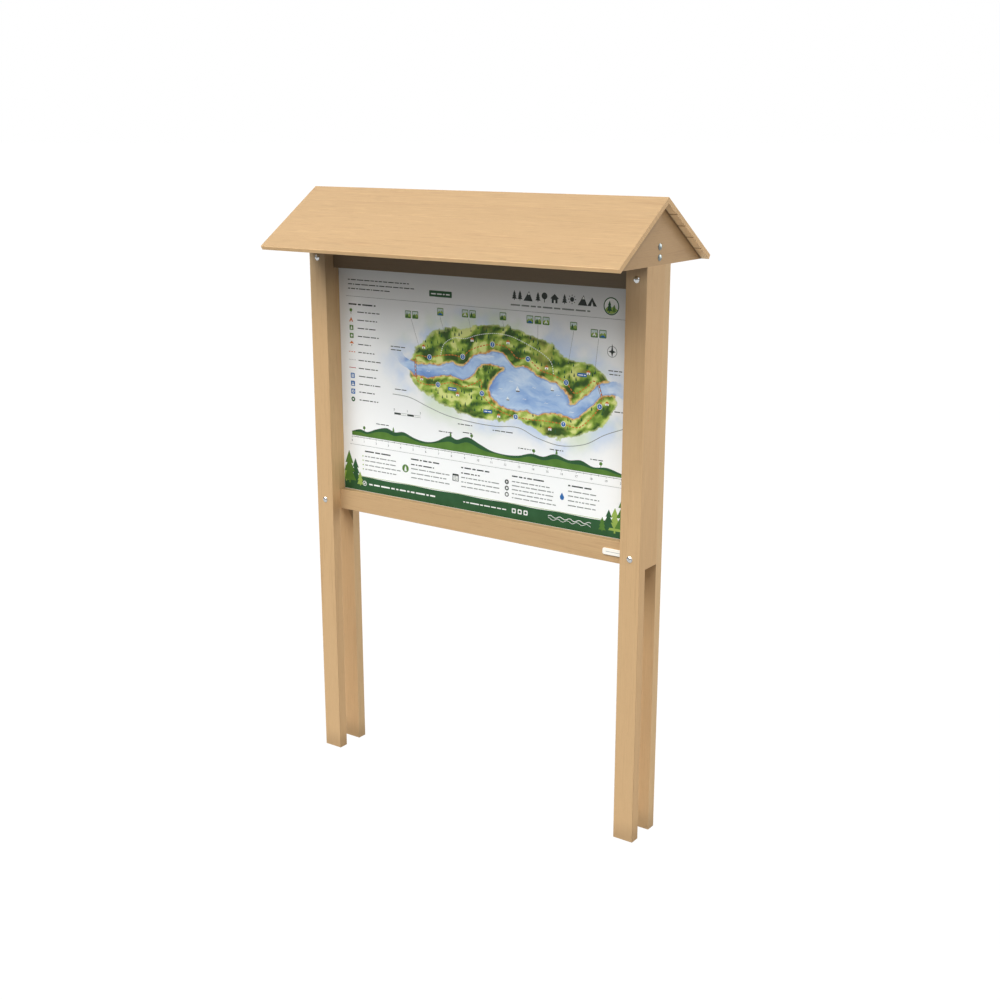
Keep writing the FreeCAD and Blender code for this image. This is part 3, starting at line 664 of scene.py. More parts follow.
def printed_sheet():
    bm = bmesh.new()
    x0, x1, z0, z1 = -0.5799, 0.5799, 0.9751, 1.7479
    yb, yf = -0.0030, FACE_Y / 1000.0
    r = 0.0006
    f = [bm.verts.new(p) for p in ((x0 + r, yf, z0 + r), (x1 - r, yf, z0 + r), (x1 - r, yf, z1 - r), (x0 + r, yf, z1 - r))]
    e = [bm.verts.new(p) for p in ((x0, yf + 0.00006, z0), (x1, yf + 0.00006, z0), (x1, yf + 0.00006, z1), (x0, yf + 0.00006, z1))]
    b = [bm.verts.new(p) for p in ((x0, yb, z0), (x1, yb, z0), (x1, yb, z1), (x0, yb, z1))]
    bm.faces.new(f)
    bm.faces.new(b[::-1])
    for i in range(4):
        j = (i + 1) % 4
        bm.faces.new((f[j], f[i], e[i], e[j]))
        bm.faces.new((e[j], e[i], b[i], b[j]))
    bmesh.ops.recalc_face_normals(bm, faces=bm.faces)
    me = bpy.data.meshes.new("print_sheet")
    bm.to_mesh(me)
    bm.free()
    ob = bpy.data.objects.new("print_sheet", me)
    scene.collection.objects.link(ob)

    m, t = new_material("print_sheet")
    x, y, z = t.xyz(t.add("ShaderNodeTexCoord").outputs["Object"])
    u, v = t.math("ADD", x, 0.58), t.math("SUBTRACT", z, 0.960)
    P = t.vec(u, v, 0.37)

    def at(scale, dx=0.0, dy=0.0, dz=0.0, detail=3.0, rough=0.5):
        return t.noise(t.vmath("ADD", t.vmath("SCALE", P, scale=scale), (dx, dy, dz)), 1.0, detail, rough)

    def lin(a, k, c):
        return t.math("MULTIPLY_ADD", a, k, c)

    du = lin(at(6.5, 3.1, 0.0, 0.0, 4.0), 0.11, -0.055)
    dv = lin(at(6.5, 0.0, 7.7, 2.0, 4.0), 0.11, -0.055)
    ragged = lin(at(60.0, 1.0, 2.0, 3.0, 3.0, 0.6), 0.016, -0.008)
    uw, vw = t.math("ADD", u, du), t.math("ADD", v, dv)

    def ellipse(cu, cv, ru, rv):
        a = t.math("DIVIDE", t.math("SUBTRACT", uw, cu), ru)
        b = t.math("DIVIDE", t.math("SUBTRACT", vw, cv), rv)
        return lin(t.math("SQRT", t.math("ADD", t.math("MULTIPLY", a, a), t.math("MULTIPLY", b, b))), -rv, rv)

    land = t.math("MAXIMUM", ellipse(0.63, 0.485, 0.33, 0.150), ellipse(0.89, 0.435, 0.22, 0.125))
    land = t.math("ADD", land, ragged)
    # a broad river that winds through the wood and opens into a lake
    bend = t.math("ADD", t.math("MULTIPLY", t.math("SINE", lin(u, 12.0, 0.4)), 0.046), t.math("MULTIPLY", t.math("SINE", lin(u, 29.0, 2.0)), 0.012))
    centre = t.math("ADD", bend, lin(u, -0.10, 0.545))
    river = t.math("SUBTRACT", 0.0165, t.math("MULTIPLY", t.math("ABSOLUTE", t.math("SUBTRACT", vw, centre)), 0.82))
    lake = ellipse(0.765, 0.435, 0.150, 0.066)
    water = t.math("ADD", t.math("MAXIMUM", river, lake), t.math("MULTIPLY", ragged, 0.55))

    # wooded hills: a rolling height field lit from the upper left, with tree crowns on it
    def ground(dx, dy):
        q = t.vec(t.math("ADD", uw, dx), t.math("MULTIPLY", t.math("ADD", vw, dy), 1.15), 0.2)
        big = t.noise(t.vmath("SCALE", q, scale=17.0), 1.0, 1.5, 0.40)
        small = t.noise(t.vmath("SCALE", q, scale=44.0), 1.0, 2.0, 0.5)
        return t.math("ADD", big, t.math("MULTIPLY", small, 0.11))

    here = ground(0.0, 0.0)
    relief = t.math("SUBTRACT", here, ground(-0.007, 0.008))
    crown = t.add("ShaderNodeTexVoronoi", feature="F1")
    t.put(crown.inputs["Vector"], t.vmath("SCALE", P, scale=185.0))
    dome = crown.outputs["Distance"]
    leafy = t.xyz(crown.outputs["Color"])[0]
    patch = at(30.0, 5.0, 1.0, 0.0, 4.0, 0.6)
    k = t.math("ADD", t.math("ADD", lin(relief, 4.6, 0.50), lin(here, 1.30, -0.65)), t.math("ADD", lin(patch, 0.40, -0.20), t.math("ADD", lin(dome, -0.20, 0.09), lin(leafy, 0.14, -0.07))))
    green = t.ramp(k, [(0.05, rgb(56, 82, 36)), (0.28, rgb(84, 114, 44)), (0.48, rgb(118, 148, 56)), (0.66, rgb(152, 178, 76)), (0.86, rgb(190, 204, 106)), (1.0, rgb(216, 222, 140))])
    warm = t.remap(at(15.0, 9.0, 4.0, 0.0, 3.0), 0.56, 0.72, 0.0, 0.38)
    green = t.mix(warm, green, (*rgb(198, 188, 100), 1.0))

    # water with soft washes
    wash = t.noise(t.vec(t.math("MULTIPLY", uw, 9.0), t.math("MULTIPLY", vw, 26.0), 0.4), 1.0, 4.0, 0.55)
    blue = t.ramp(wash, [(0.28, rgb(112, 146, 204)), (0.42, rgb(146, 178, 222)), (0.56, rgb(176, 202, 232)), (0.72, rgb(212, 226, 243))])

    paper = t.mix(at(3.0, 0, 0, 9.0), (*rgb(250, 251, 249), 1.0), (*rgb(246, 248, 247), 1.0))
    # paper darker towards the top of the panel: painted shade of the roof
    paper = t.vmath("SCALE", paper, scale=t.math("MULTIPLY", t.remap(v, 0.18, 0.40, 1.0, 0.90), t.remap(v, 0.68, 0.80, 1.0, 0.66)))
    # pale blue and green bleed round the land
    bleed = t.math("MULTIPLY", t.remap(land, -0.075, 0.004), t.remap(at(8.0, 2.0, 8.0, 1.0, 4.0), 0.34, 0.60))
    halo = t.mix(t.remap(at(5.0, 4.0, 4.0, 4.0), 0.42, 0.60), (*rgb(178, 202, 234), 1.0), (*rgb(206, 222, 190), 1.0))
    col = t.mix(t.math("MULTIPLY", bleed, 0.72), paper, halo)
    edge = t.remap(land, -0.001, 0.004)
    col = t.mix(edge, col, green)
    rim = t.math("MULTIPLY", t.remap(land, 0.009, 0.003), edge)
    col = t.mix(t.math("MULTIPLY", rim, 0.55), col, (*rgb(206, 214, 140), 1.0))
    # sandy bank, then water with a darker brush edge, only inside the land or its bleed
    reach = t.remap(land, -0.030, 0.000)
    bank = t.math("MULTIPLY", t.remap(water, -0.0065, -0.0025), reach)
    sand = t.mix(t.remap(at(90.0, 0, 3.0, 0), 0.40, 0.62), (*rgb(226, 196, 128), 1.0), (*rgb(196, 132, 70), 1.0))
    col = t.mix(t.math("MULTIPLY", bank, edge), col, sand)
    wet = t.math("MULTIPLY", t.remap(water, -0.0008, 0.0012), reach)
    col = t.mix(wet, col, blue)
    brush = t.math("MULTIPLY", t.math("MULTIPLY", t.remap(water, 0.0055, 0.0015), wet), edge)
    col = t.mix(t.math("MULTIPLY", brush, 0.55), col, (*rgb(98, 132, 190), 1.0))

    grain = t.noise(t.vmath("SCALE", P, scale=1300.0), 1.0, 2.0)
    rough = t.math("ADD", t.remap(at(7.0, 0, 0, 5.0), 0.3, 0.7, 0.32, 0.42, smooth=False), t.math("MULTIPLY", grain, 0.05))
    t.principled(col, rough, t.bump(grain, 0.10, 0.00005), specular=0.2)
    me.materials.append(m)
    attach(ob, "root")


printed_sheet()

dark = Ink("print_dark", (52, 58, 54), 1)
grey = Ink("print_grey", (126, 132, 126), 2)
deep = Ink("print_deep_green", (44, 86, 51), 3)
leaf = Ink("print_leaf_green", (84, 124, 50), 4)
lime = Ink("print_lime", (150, 176, 84), 5)
white = Ink("print_white", (240, 242, 238), 6)
blue = Ink("print_blue", (46, 104, 168), 7)
orange = Ink("print_orange", (206, 112, 52), 8)
red = Ink("print_red", (176, 58, 48), 9)
sky = Ink("print_sky", (206, 220, 214), 10)
bark = Ink("print_bark", (104, 84, 58), 11)
rng = random.Random(2024)


def curve(points, steps=10, closed=False):
    """Catmull-Rom line through given points."""
    n, out = len(points), []
    for i in range(n if closed else n - 1):
        p = [points[(i + k) % n] if closed else points[min(max(i + k, 0), n - 1)] for k in (-1, 0, 1, 2)]
        for s in range(steps):
            q = s / steps
            out.append(tuple(0.5 * (2 * p[1][c] + (p[2][c] - p[0][c]) * q + (2 * p[0][c] - 5 * p[1][c] + 4 * p[2][c] - p[3][c]) * q * q + (3 * p[1][c] - p[0][c] - 3 * p[2][c] + p[3][c]) * q ** 3) for c in (0, 1)))
    out.append(points[0] if closed else points[-1])
    return out


def pine(ink, u, v, h, w, layer=1):
    half = [(0.07, 0.0), (0.07, 0.13), (0.50, 0.13), (0.24, 0.36), (0.40, 0.36), (0.18, 0.60), (0.29, 0.60), (0.0, 1.0)]
    pts = [(u + x * w, v + y * h) for x, y in half] + [(u - x * w, v + y * h) for x, y in half[-2::-1]]
    ink.poly(pts, layer)


def round_tree(u, v, h, layer=1):
    bark.rect(u - h * 0.05, v, h * 0.10, h * 0.45, layer)
    pts = []
    for k in range(18):
        a = 2 * math.pi * k / 18
        r = h * (0.30 + 0.03 * math.cos(5 * a))
        pts.append((u + r * math.cos(a), v + h * 0.66 + r * math.sin(a)))
    leaf.poly(pts, layer + 1)


def hut(u, v, s, layer=2):
    white.rect(u - s * 0.42, v, s * 0.84, s * 0.5, layer)
    orange.poly([(u - s * 0.60, v + s * 0.46), (u + s * 0.60, v + s * 0.46), (u, v + s * 0.98)], layer + 1)
    dark.rect(u - s * 0.09, v, s * 0.18, s * 0.30, layer + 1)


def tile(u, v, s, kind):
    leaf.rect(u, v, s, s, 1, r=s * 0.10)
    sky.rect(u + s * 0.08, v + s * 0.42, s * 0.84, s * 0.48, 2, r=s * 0.06)
    lime.poly([(u + s * 0.08, v + s * 0.40), (u + s * 0.34, v + s * 0.62), (u + s * 0.54, v + s * 0.48), (u + s * 0.74, v + s * 0.70), (u + s * 0.92, v + s * 0.46), (u + s * 0.92, v + s * 0.22), (u + s * 0.08, v + s * 0.22)], 3)
    if kind == 0:
        pine(deep, u + s * 0.34, v + s * 0.14, s * 0.62, s * 0.40, 4)
    elif kind == 1:
        white.disc(u + s * 0.68, v + s * 0.74, s * 0.09, 4, 14)
        pine(deep, u + s * 0.24, v + s * 0.12, s * 0.44, s * 0.28, 4)
        pine(deep, u + s * 0.46, v + s * 0.12, s * 0.52, s * 0.30, 4)
    elif kind == 2:
        blue.poly([(u + s * 0.10, v + s * 0.10), (u + s * 0.90, v + s * 0.10), (u + s * 0.66, v + s * 0.34), (u + s * 0.36, v + s * 0.34)], 4)
    else:
        white.poly([(u + s * 0.22, v + s * 0.16), (u + s * 0.50, v + s * 0.58), (u + s * 0.78, v + s * 0.16), (u + s * 0.60, v + s * 0.16), (u + s * 0.50, v + s * 0.34), (u + s * 0.40, v + s * 0.16)], 4)


# header: round badge and bold row at the right, small text at the left
deep.disc(1074, 716, 27, 1, 40)
white.disc(1074, 716, 23.5, 2, 40)
lime.poly([(1053, 706), (1062, 714), (1071, 709), (1082, 717), (1095, 706), (1091, 700), (1083, 695), (1074, 693), (1064, 695), (1057, 700)], 3)
pine(deep, 1068, 697, 36, 19, 4)
pine(leaf, 1084, 697, 25, 14, 4)


def emblem(kind, u, v, h):
    if kind == "pine":
        pine(dark, u, v, h, h * 0.62)
    elif kind == "peak":
        dark.poly([(u - h * 0.55, v), (u + h * 0.55, v), (u + h * 0.12, v + h), (u - h * 0.06, v + h * 0.72)], 1)
        white.poly([(u + h * 0.12, v + h * 0.88), (u + h * 0.26, v + h * 0.60), (u + h * 0.14, v + h * 0.66), (u + h * 0.04, v + h * 0.58), (u + h * 0.00, v + h * 0.72)], 2)
    elif kind == "tent":
        dark.poly([(u - h * 0.55, v), (u - h * 0.14, v), (u, v + h * 0.46), (u + h * 0.14, v), (u + h * 0.55, v), (u, v + h * 0.86)], 1)
    elif kind == "sun":
        dark.disc(u, v + h * 0.52, h * 0.24, 1, 20)
        for k in range(8):
            a = math.pi * k / 4
            dark.line([(u + h * 0.33 * math.cos(a), v + h * 0.52 + h * 0.33 * math.sin(a)), (u + h * 0.46 * math.cos(a), v + h * 0.52 + h * 0.46 * math.sin(a))], h * 0.08)
    elif kind == "tree":
        dark.rect(u - h * 0.05, v, h * 0.10, h * 0.45)
        dark.disc(u, v + h * 0.64, h * 0.34, 2, 20)
    elif kind == "wave":
        for k in range(3):
            y0 = v + h * (0.14 + 0.27 * k)
            dark.line(curve([(u - h * 0.50, y0), (u - h * 0.25, y0 + h * 0.10), (u, y0), (u + h * 0.25, y0 - h * 0.08), (u + h * 0.50, y0 + h * 0.02)], 5), h * 0.11)
    elif kind == "hut":
        dark.rect(u - h * 0.34, v, h * 0.68, h * 0.48)
        dark.poly([(u - h * 0.52, v + h * 0.44), (u + h * 0.52, v + h * 0.44), (u, v + h * 0.92)], 2)
        white.rect(u - h * 0.09, v, h * 0.18, h * 0.30, 3)




x = 724.0
for kind, gap in (("pine", 21), ("pine", 30), ("peak", 37), ("pine", 24), ("tree", 37), ("hut", 36), ("pine", 27), ("sun", 37), ("peak", 34), ("tent", 30)):
    emblem(kind, x, 711, 31)
    x += gap
grey.words(rng, 710, 692, 318, 8.5)
for row in range(3):
    dark.words(rng, 40, 732 - 15 * row, 300 if row < 2 else 190, 5.6)
deep.rect(388, 700, 92, 20, 1, r=2.5)
white.words(rng, 396, 706.5, 76, 7.0, 2, ragged=False)
grey.rect(30, 678, 1100, 1.1)

# legend column at the left
dark.words(rng, 40, 648, 120, 8.6, ragged=False)
for i in range(12):
    yv = 622 - 27.5 * i
    k = i % 12
    if k == 0:
        round_tree(50, yv - 4, 20)
    elif k == 1:
        orange.poly([(41, yv - 3), (59, yv - 3), (50, yv + 13)], 1)
        white.poly([(47, yv - 3), (53, yv - 3), (50, yv + 4)], 2)
    elif k == 2:
        leaf.rect(42, yv - 4, 17, 17, 1, r=2)
        pine(white, 50.5, yv - 2, 13, 10, 2)
    elif k == 3:
        leaf.rect(42, yv - 4, 17, 17, 1, r=2)
        white.disc(50.5, yv + 4.5, 4.2, 2, 18)
    elif k == 4:
        hut(50, yv - 3, 17, 1)
    elif k == 5:
        orange.dashes([(36, yv + 4), (66, yv + 4)], 2.6, 7, 4)
    elif k == 6:
        dark.dashes([(36, yv + 4), (66, yv + 4)], 1.8, 2.2, 3.2)
    elif k == 7:
        red.line([(36, yv + 4), (66, yv + 4)], 2.2)
    elif k in (8, 9, 10):
        blue.rect(41.5, yv - 5, 18, 18, 1, r=2.4)
        if k == 8:
            for j in range(3):
                white.rect(45, yv - 1.5 + 4.2 * j, 11, 2.0, 2)
        elif k == 9:
            white.poly([(45, yv - 2), (56, yv - 2), (56, yv + 1), (52, yv + 1), (52, yv + 9), (49, yv + 9), (49, yv + 1), (45, yv + 1)], 2)
        else:
            white.ring(50.5, yv + 4, 3.0, 5.4, 2, 18)
    else:
        deep.disc(50, yv + 4, 8.5, 1, 24)
        white.disc(50, yv + 4, 3.2, 2, 16)
    dark.words(rng, 78, yv + 1.5, rng.choice((64, 82, 96, 110)), 5.8)

# picture tiles above the map, tied to it by thin leaders
for u0, v0, kinds, foot in ((286, 622, (0, 1), (346, 522)), (420, 640, (2,), (448, 588)), (520, 642, (3, 0), (556, 600)),
                            (668, 644, (1,), (690, 604)), (770, 642, (2, 1, 3), (812, 578)), (930, 634, (0,), (925, 530)), (1004, 618, (3, 2), (1020, 508))):
    for j, kd in enumerate(kinds):
        tile(u0 + 30 * j, v0, 25, kd)
    mid = u0 + 15 * len(kinds) - 2.5
    grey.line([(mid, v0 - 2), (mid, v0 - 8), foot], 0.9)
    dark.disc(foot[0], foot[1], 2.2, 2, 12)

# outlines of the wood and of its water, placed over the sheet's own painting
LAND = [(322, 505), (340, 533), (372, 565), (410, 588), (455, 602), (490, 607), (530, 603), (570, 617), (610, 623), (660, 627), (705, 628), (750, 617), (800, 600),
        (840, 591), (868, 585), (890, 565), (912, 547), (960, 537), (1000, 535), (1030, 520), (1060, 493), (1095, 470), (1095, 440), (1085, 410), (1062, 380), (1040, 355),
        (1000, 333), (960, 310), (920, 293), (890, 288), (860, 293), (830, 305), (800, 320), (770, 330), (740, 335), (700, 325), (660, 322), (600, 323), (560, 325),
        (510, 330), (470, 345), (430, 355), (390, 373), (350, 395), (320, 420), (305, 440), (305, 480)]
WATER = [(255, 505), (305, 483), (340, 476), (380, 477), (430, 482), (478, 493), (530, 487), (552, 507), (568, 523), (600, 531), (640, 545), (690, 538), (712, 513),
         (728, 500), (770, 507), (800, 493), (830, 475), (880, 463), (910, 447), (928, 425), (936, 403), (960, 410), (1000, 445), (1030, 475), (1070, 488), (1110, 488),
         (1125, 445), (1095, 445), (1070, 443), (1040, 435), (1005, 405), (985, 380), (950, 357), (900, 365), (860, 365), (820, 355), (780, 363), (740, 359), (690, 363),
         (655, 380), (630, 400), (622, 417), (635, 447), (660, 475), (688, 493), (660, 497), (630, 501), (600, 497), (580, 483), (565, 460), (540, 443), (515, 438),
         (475, 445), (430, 437), (380, 430), (335, 432), (305, 437), (270, 475)]


def apart(p, line, closed=True):
    """Shortest distance from a point to a line of points."""
    best = 1e9
    for i in range(len(line) if closed else len(line) - 1):
        (x0, y0), (x1, y1) = line[i], line[(i + 1) % len(line)]
        dx, dy = x1 - x0, y1 - y0
        q = min(1.0, max(0.0, ((p[0] - x0) * dx + (p[1] - y0) * dy) / ((dx * dx + dy * dy) or 1.0)))
        best = min(best, math.hypot(p[0] - x0 - q * dx, p[1] - y0 - q * dy))
    return best


def within(p, shape):
    odd = False
    for (x0, y0), (x1, y1) in zip(shape, shape[1:] + shape[:1]):
        if (y0 > p[1]) != (y1 > p[1]) and p[0] < x0 + (p[1] - y0) * (x1 - x0) / (y1 - y0):
            odd = not odd
    return odd


# road past the wood, a ring trail with two bridges, a hill trail, numbered stops
grey.line(curve([(226, 360), (300, 356), (380, 332), (460, 312), (560, 302), (650, 300), (740, 306), (812, 282), (900, 268), (990, 284), (1060, 322), (1136, 352)], 6), 2.2, 1)
ring = curve([(340, 502), (386, 500), (432, 510), (480, 516), (522, 514), (546, 534), (586, 552), (640, 564), (696, 560), (734, 530), (776, 530), (822, 500), (872, 488), (918, 470), (950, 440),
              (990, 462), (1014, 484), (1034, 474), (1046, 440), (1040, 408), (1012, 372), (966, 334), (910, 338), (850, 340), (790, 338), (730, 340), (676, 350), (630, 372), (598, 402),
              (596, 444), (566, 430), (524, 416), (474, 424), (420, 412), (366, 408), (334, 418), (326, 454), (328, 490)], 8, True)
orange.dashes(ring, 3.2, 8.0, 4.6, 2)
hill_trail = curve([(432, 510), (446, 548), (486, 572), (534, 574), (584, 590), (648, 600), (710, 596), (768, 578), (822, 556), (862, 528), (872, 488)], 8)
white.dashes(hill_trail, 2.4, 4.0, 3.4, 2)
for a, b, turn in ((327, 458, math.radians(91)), (1040.5, 456, math.radians(110))):
    cx, sx = math.cos(turn), math.sin(turn)
    for k in (-1, 1):
        bark.line([(a - 30 * cx - 3.4 * k * sx, b - 30 * sx + 3.4 * k * cx), (a + 30 * cx - 3.4 * k * sx, b + 30 * sx + 3.4 * k * cx)], 1.3, 3)
stops = [(386, 500), (522, 514), (640, 564), (776, 530), (918, 470), (1040, 408), (910, 338), (730, 340), (598, 402), (420, 412)]
for k, (a, b) in enumerate(stops, 1):
    white.disc(a, b, 9.2, 3, 24)
    blue.disc(a, b, 7.8, 4, 24)
    white.digits(str(k), a, b, 8.4 if k < 10 else 7.4, 5)
huts = [(362, 530, 15), (560, 570, 14), (700, 574, 15), (846, 508, 14), (998, 506, 15), (1066, 418, 14), (860, 316, 14), (664, 334, 14), (500, 386, 15), (352, 424, 13)]
for a, b, s in huts:
    hut(a, b - 4, s, 2)
signs = [(462, 398), (604, 340), (958, 494)]
for a, b in signs:
    blue.rect(a, b, 34, 11, 3, r=2)
    white.words(rng, a + 4, b + 3.0, 27, 5.0, 4, ragged=False)
taken = [(a, b, 14) for a, b in stops] + [(a, b + 3, 15) for a, b, _ in huts] + [(a + 17, b + 5, 24) for a, b in signs]
trees = []
for _ in range(2600):
    a, b = rng.uniform(310, 1095), rng.uniform(290, 626)
    if len(trees) >= 118 or not within((a, b), LAND) or within((a, b), WATER):
        continue
    if apart((a, b), LAND) < 9 or apart((a, b), WATER) < 10 or apart((a, b), ring) < 8 or apart((a, b + 6), ring) < 8 or apart((a, b + 5), hill_trail, False) < 8:
        continue
    if any(math.hypot(a - p, b + 5 - q) < r for p, q, r in taken) or any(math.hypot(a - p, (b - q) * 0.7) < 9.5 for p, q in trees):
        continue
    trees.append((a, b))
for a, b in trees:
    pine(deep if rng.random() < 0.72 else leaf, a, b, rng.uniform(10, 15), rng.uniform(6, 8.5), 1)
for a, b in ((672, 424), (712, 452), (764, 400), (800, 440), (846, 396), (890, 426), (940, 378), (640, 524), (450, 460), (380, 452)):
    white.line([(a - 8, b), (a - 3, b + 2.0), (a + 2, b), (a + 7, b + 2.0)], 1.1, 1)
for a, b, s in ((738, 424, 17), (868, 440, 13), (700, 392, 12)):
    white.poly([(a - s * 0.05, b + s * 0.12), (a - s * 0.05, b + s), (a - s * 0.48, b + s * 0.12)], 1)
    white.poly([(a + s * 0.06, b + s * 0.12), (a + s * 0.42, b + s * 0.12), (a + s * 0.06, b + s * 0.74)], 1)
    bark.poly([(a - s * 0.50, b + s * 0.06), (a - s * 0.34, b - s * 0.14), (a + s * 0.34, b - s * 0.14), (a + s * 0.50, b + s * 0.06)], 1)
for a, b, w in ((222, 520, 66), (222, 509, 48), (640, 284, 84), (1068, 520, 56), (1072, 509, 44), (236, 376, 58), (1092, 396, 44), (500, 288, 62)):
    dark.words(rng, a, b, w, 5.0, 2)

# compass without letters, and a scale bar
grey.ring(1080, 580, 15.5, 17.2, 1, 32)
dark.poly([(1080 + r * math.sin(math.radians(45 * k)), 580 + r * math.cos(math.radians(45 * k))) for k, r in enumerate((24, 5, 13, 5, 17, 5, 13, 5))], 2)
for j in range(4):
    (dark if j % 2 == 0 else white).rect(232 + 28 * j, 292, 28, 5, 1)
grey.rect(231, 291, 114, 1.0, 2)
grey.rect(231, 297, 114, 1.0, 2)
for j, one in enumerate(("0", "1", "2")):
    dark.digits(one, 232 + 56 * j, 307, 7.5)

# height profile below the map
prof = [(40, 12), (78, 22), (110, 16), (150, 30), (196, 40), (232, 30), (270, 35), (318, 20), (366, 14), (410, 22), (462, 46), (496, 38), (540, 52), (590, 34), (636, 18),
        (690, 13), (742, 17), (790, 30), (836, 26), (880, 40), (930, 28), (976, 33), (1020, 18), (1070, 22), (1122, 10)]
top = curve(prof, 5)
deep.poly([(40, 196)] + [(a, 198 + b) for a, b in top] + [(1122, 196)], 1)
leaf.poly([(40, 196.5)] + [(a, 198 + b * 0.62 + 2.0 * math.sin(a * 0.05)) for a, b in top] + [(1122, 196.5)], 2)
for a in (96, 226, 470, 556, 800, 886, 1048):
    h = [q for q in top if q[0] >= a][0][1]
    if a % 4 == 0:
        round_tree(a, 197 + h, 19)
    else:
        pine(leaf, a, 197 + h, 19, 11, 1)
dark.rect(40, 191, 1082, 1.3, 1)
for j in range(41):
    a = 40 + 1082 * j / 40
    dark.rect(a - 0.5, 186 if j % 2 == 0 else 188.5, 1.0, 6, 1)
    if j % 2 == 0:
        dark.digits(str(j // 2), a, 177.5, 7.6)
for a, b, w in ((150, 246, 66), (420, 254, 60), (520, 262, 44), (740, 238, 70), (860, 250, 58), (1010, 238, 52)):
    dark.words(rng, a, b, w, 5.0)
grey.rect(30, 163, 1100, 1.1)

# five text columns
for i, (u0, w) in enumerate(((96, 160), (300, 168), (512, 160), (716, 172), (930, 120))):
    if i == 0:
        for j in range(4):
            lime.disc(u0 - 9, 126.5 - 15.5 * j, 2.6, 1, 12)
    elif i == 1:
        leaf.disc(u0 - 24, 108, 14, 1, 28)
        pine(white, u0 - 24, 97, 21, 13, 2)
    elif i == 2:
        dark.rect(u0 - 36, 94, 26, 25, 1, r=3)
        white.rect(u0 - 33.5, 96.5, 21, 16, 2, r=1.5)
        for j in range(9):
            dark.rect(u0 - 31 + 6.2 * (j % 3), 98.5 + 4.8 * (j // 3), 3.2, 2.6, 3)
    elif i == 3:
        for j in range(3):
            dark.disc(u0 - 20, 122 - 21 * j, 8.0, 1, 20)
            white.disc(u0 - 20, 122 - 21 * j, 3.0 + j * 0.8, 2, 16)
    else:
        blue.poly([(u0 - 22, 118), (u0 - 14, 104), (u0 - 16, 96), (u0 - 22, 93), (u0 - 28, 96), (u0 - 30, 104)], 1)
    dark.words(rng, u0, 141, w * 0.72, 8.0, ragged=False)
    for j in range(4 if i != 3 else 5):
        if i in (1, 2) and j == 0:
            dark.words(rng, u0, 123, w * 0.6, 7.0)
            continue
        grey.words(rng, u0, 124 - 15.5 * j if i != 3 else 124 - 13.5 * j, w, 5.8)

# footer band, marks and trees at its ends
deep.poly([(0.4, 1.0), (1159.4, 1.0), (1159.4, 51)] + [(1159.4 - 1159 * k / 40, 51 + 1.1 * math.sin(k * 0.9)) for k in range(1, 40)] + [(0.4, 51)], 1)
lime.rect(0.4, 52.6, 1159, 1.4, 1)
white.ring(92, 28.5, 6.6, 9.0, 2, 24)
white.poly([(86.5, 28), (90.5, 24), (98, 32), (96, 34), (90.5, 28), (88.5, 30)], 2)
white.words(rng, 112, 24, 300, 9.4, 2, ragged=False)
white.words(rng, 520, 25, 176, 7.0, 2, ragged=False)
for j in range(3):
    white.rect(716 + 23 * j, 21, 16, 16, 2, r=3)
    deep.disc(724 + 23 * j, 29, 4.4, 3, 16)
for j in range(2):
    white.line([(856 + 4 * k, 33 - 8 * j + 3.4 * math.sin(2 * math.pi * k / 9.0 + 1.4 * j)) for k in range(41)], 1.8 - 0.5 * j, 2)
for k, (ink_, a, b, h, w) in enumerate(((lime, 7, 26, 60, 34), (deep, 52, 30, 84, 44), (leaf, 24, 22, 118, 58), (lime, 72, 18, 50, 29),
                                        (lime, 1102, 16, 82, 46), (deep, 1080, 26, 64, 36), (leaf, 1134, 20, 132, 64), (leaf, 1057, 16, 46, 27))):
    half = [(0.06, 0.0), (0.06, 0.09), (0.50, 0.09), (0.22, 0.36), (0.41, 0.36), (0.16, 0.61), (0.31, 0.61), (0.0, 1.0)]
    pts = [(a + p * w, b + q * h) for p, q in half] + [(a - p * w, b + q * h) for p, q in half[-2::-1]]
    pts = [(min(max(p, 0.6), 1159.2), q) for p, q in pts]
    ink_.poly(pts, 2 + k % 4)

for ink_ in (dark, grey, deep, leaf, lime, white, blue, orange, red, sky, bark):
    ink_.finish()

# ------------------------------------------------------------------ floor, world, lights
bpy.ops.mesh.primitive_plane_add(size=400.0, location=(0, 0, 0))
floor = bpy.context.object
floor.name = "studio_floor"
m, t = new_material("pale_floor")
t_pos = t.add("ShaderNodeTexCoord").outputs["Object"]
mottle = t.noise(t.vmath("SCALE", t_pos, scale=2.0), 1.0, 3.0)
path = t.add("ShaderNodeLightPath")
d = t.add("ShaderNodeBsdfDiffuse")
t.put(d.inputs["Color"], t.mix(path.outputs["Is Camera Ray"], t.mix(mottle, (0.31, 0.31, 0.31, 1.0), (0.29, 0.29, 0.29, 1.0)), (0.02, 0.02, 0.02, 1.0)))
glow = t.add("ShaderNodeEmission")
t.put(glow.inputs["Color"], t.mix(path.outputs["Is Camera Ray"], t.mix(path.outputs["Is Glossy Ray"], (0.0, 0.0, 0.0, 1.0), (0.30, 0.30, 0.30, 1.0)), (1.0, 1.0, 1.0, 1.0)))
glow.inputs["Strength"].default_value = 1.0
both = t.add("ShaderNodeAddShader")
t.t.links.new(d.outputs[0], both.inputs[0])
t.t.links.new(glow.outputs[0], both.inputs[1])
out = t.add("ShaderNodeOutputMaterial")
t.t.links.new(both.outputs[0], out.inputs[0])
floor.data.materials.append(m)

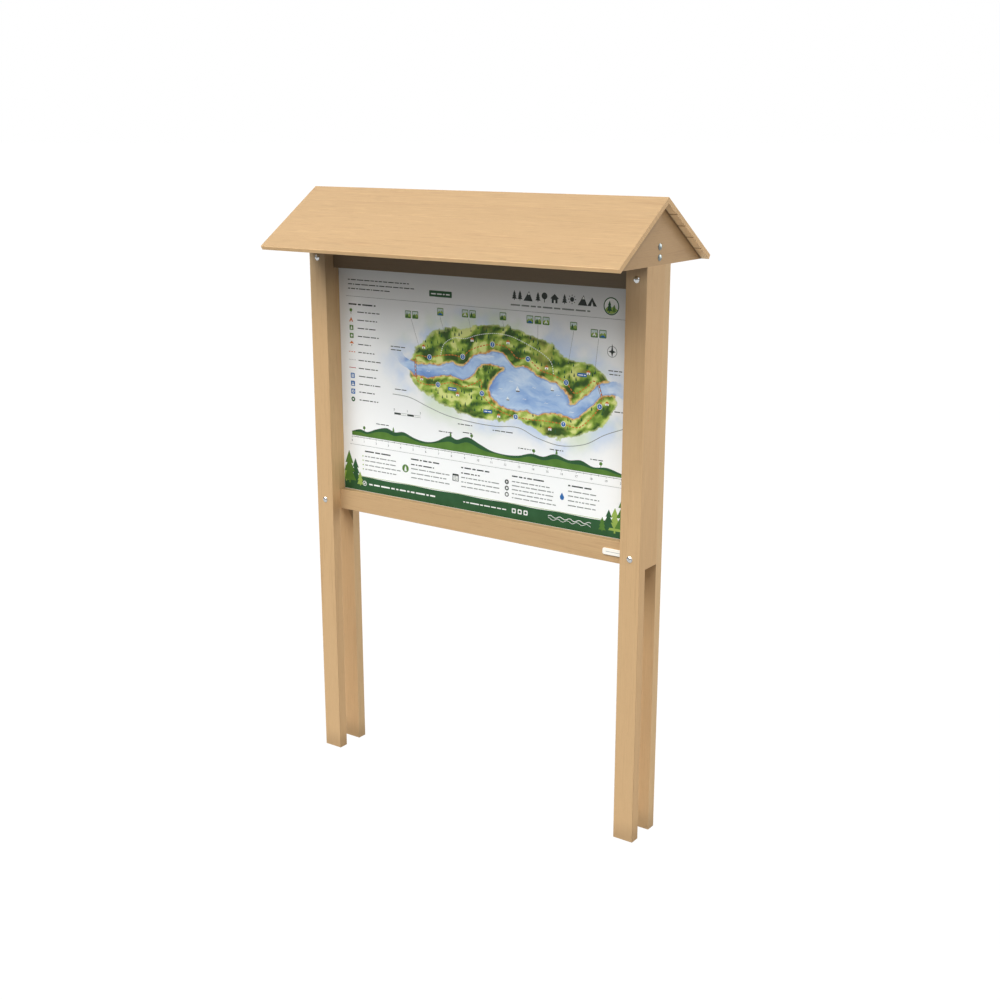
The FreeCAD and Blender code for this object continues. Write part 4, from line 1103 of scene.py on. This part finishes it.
world = bpy.data.worlds.new("studio_world")
scene.world = world
world.use_nodes = True
t = Tree(world.node_tree)
z = t.xyz(t.add("ShaderNodeTexCoord").outputs["Generated"])[2]
sky = t.ramp(t.remap(z, -1.0, 1.0, smooth=False), [(0.0, (0.30, 0.30, 0.30)), (0.49, (0.10, 0.10, 0.10)), (0.62, (0.12, 0.12, 0.12)), (0.72, (0.50, 0.50, 0.50)), (0.84, (0.95, 0.95, 0.95)), (1.0, (1.0, 1.0, 1.0))])
lp = t.add("ShaderNodeLightPath")
sky = t.mix(lp.outputs["Is Glossy Ray"], (0.005, 0.008, 0.014, 1.0), sky)
skycol = t.mix(lp.outputs["Is Camera Ray"], sky, (1.0, 1.0, 1.0, 1.0))
bg = t.add("ShaderNodeBackground")
t.put(bg.inputs["Color"], skycol)
bg.inputs["Strength"].default_value = 1.0
out = t.add("ShaderNodeOutputWorld")
t.t.links.new(bg.outputs[0], out.inputs[0])


def soft_lamp(name, azimuth, elevation, strength, spread, color=(1, 1, 1)):
    """A far, broad lamp. azimuth 0 is straight in front, positive towards +X; spread is its width in degrees."""
    a, e = math.radians(azimuth), math.radians(elevation)
    towards = Vector((math.cos(e) * math.sin(a), -math.cos(e) * math.cos(a), math.sin(e)))
    l = bpy.data.lights.new(name, "SUN")
    l.energy = strength
    l.angle = math.radians(spread)
    l.color = color
    o = bpy.data.objects.new(name, l)
    o.location = Vector((0.0, 0.0, 1.2)) + towards * 6.0
    o.rotation_euler = towards.to_track_quat("Z", "Y").to_euler()
    scene.collection.objects.link(o)
    return o


for name, azimuth, elevation, strength in (
        ("front", 0.0, 46.0, 0.79), ("front_left", -35.0, 46.0, 1.44), ("high_left", -60.0, 58.0, 1.64), ("high_right", 30.0, 58.0, 1.12),
        ("low_right", 40.0, 32.0, 0.42), ("side_right", 110.0, 16.0, 0.69), ("back_right", 150.0, 16.0, 1.52), ("back_left", -150.0, 16.0, 1.75)):
    soft_lamp(name, azimuth, elevation, strength, 32.0)
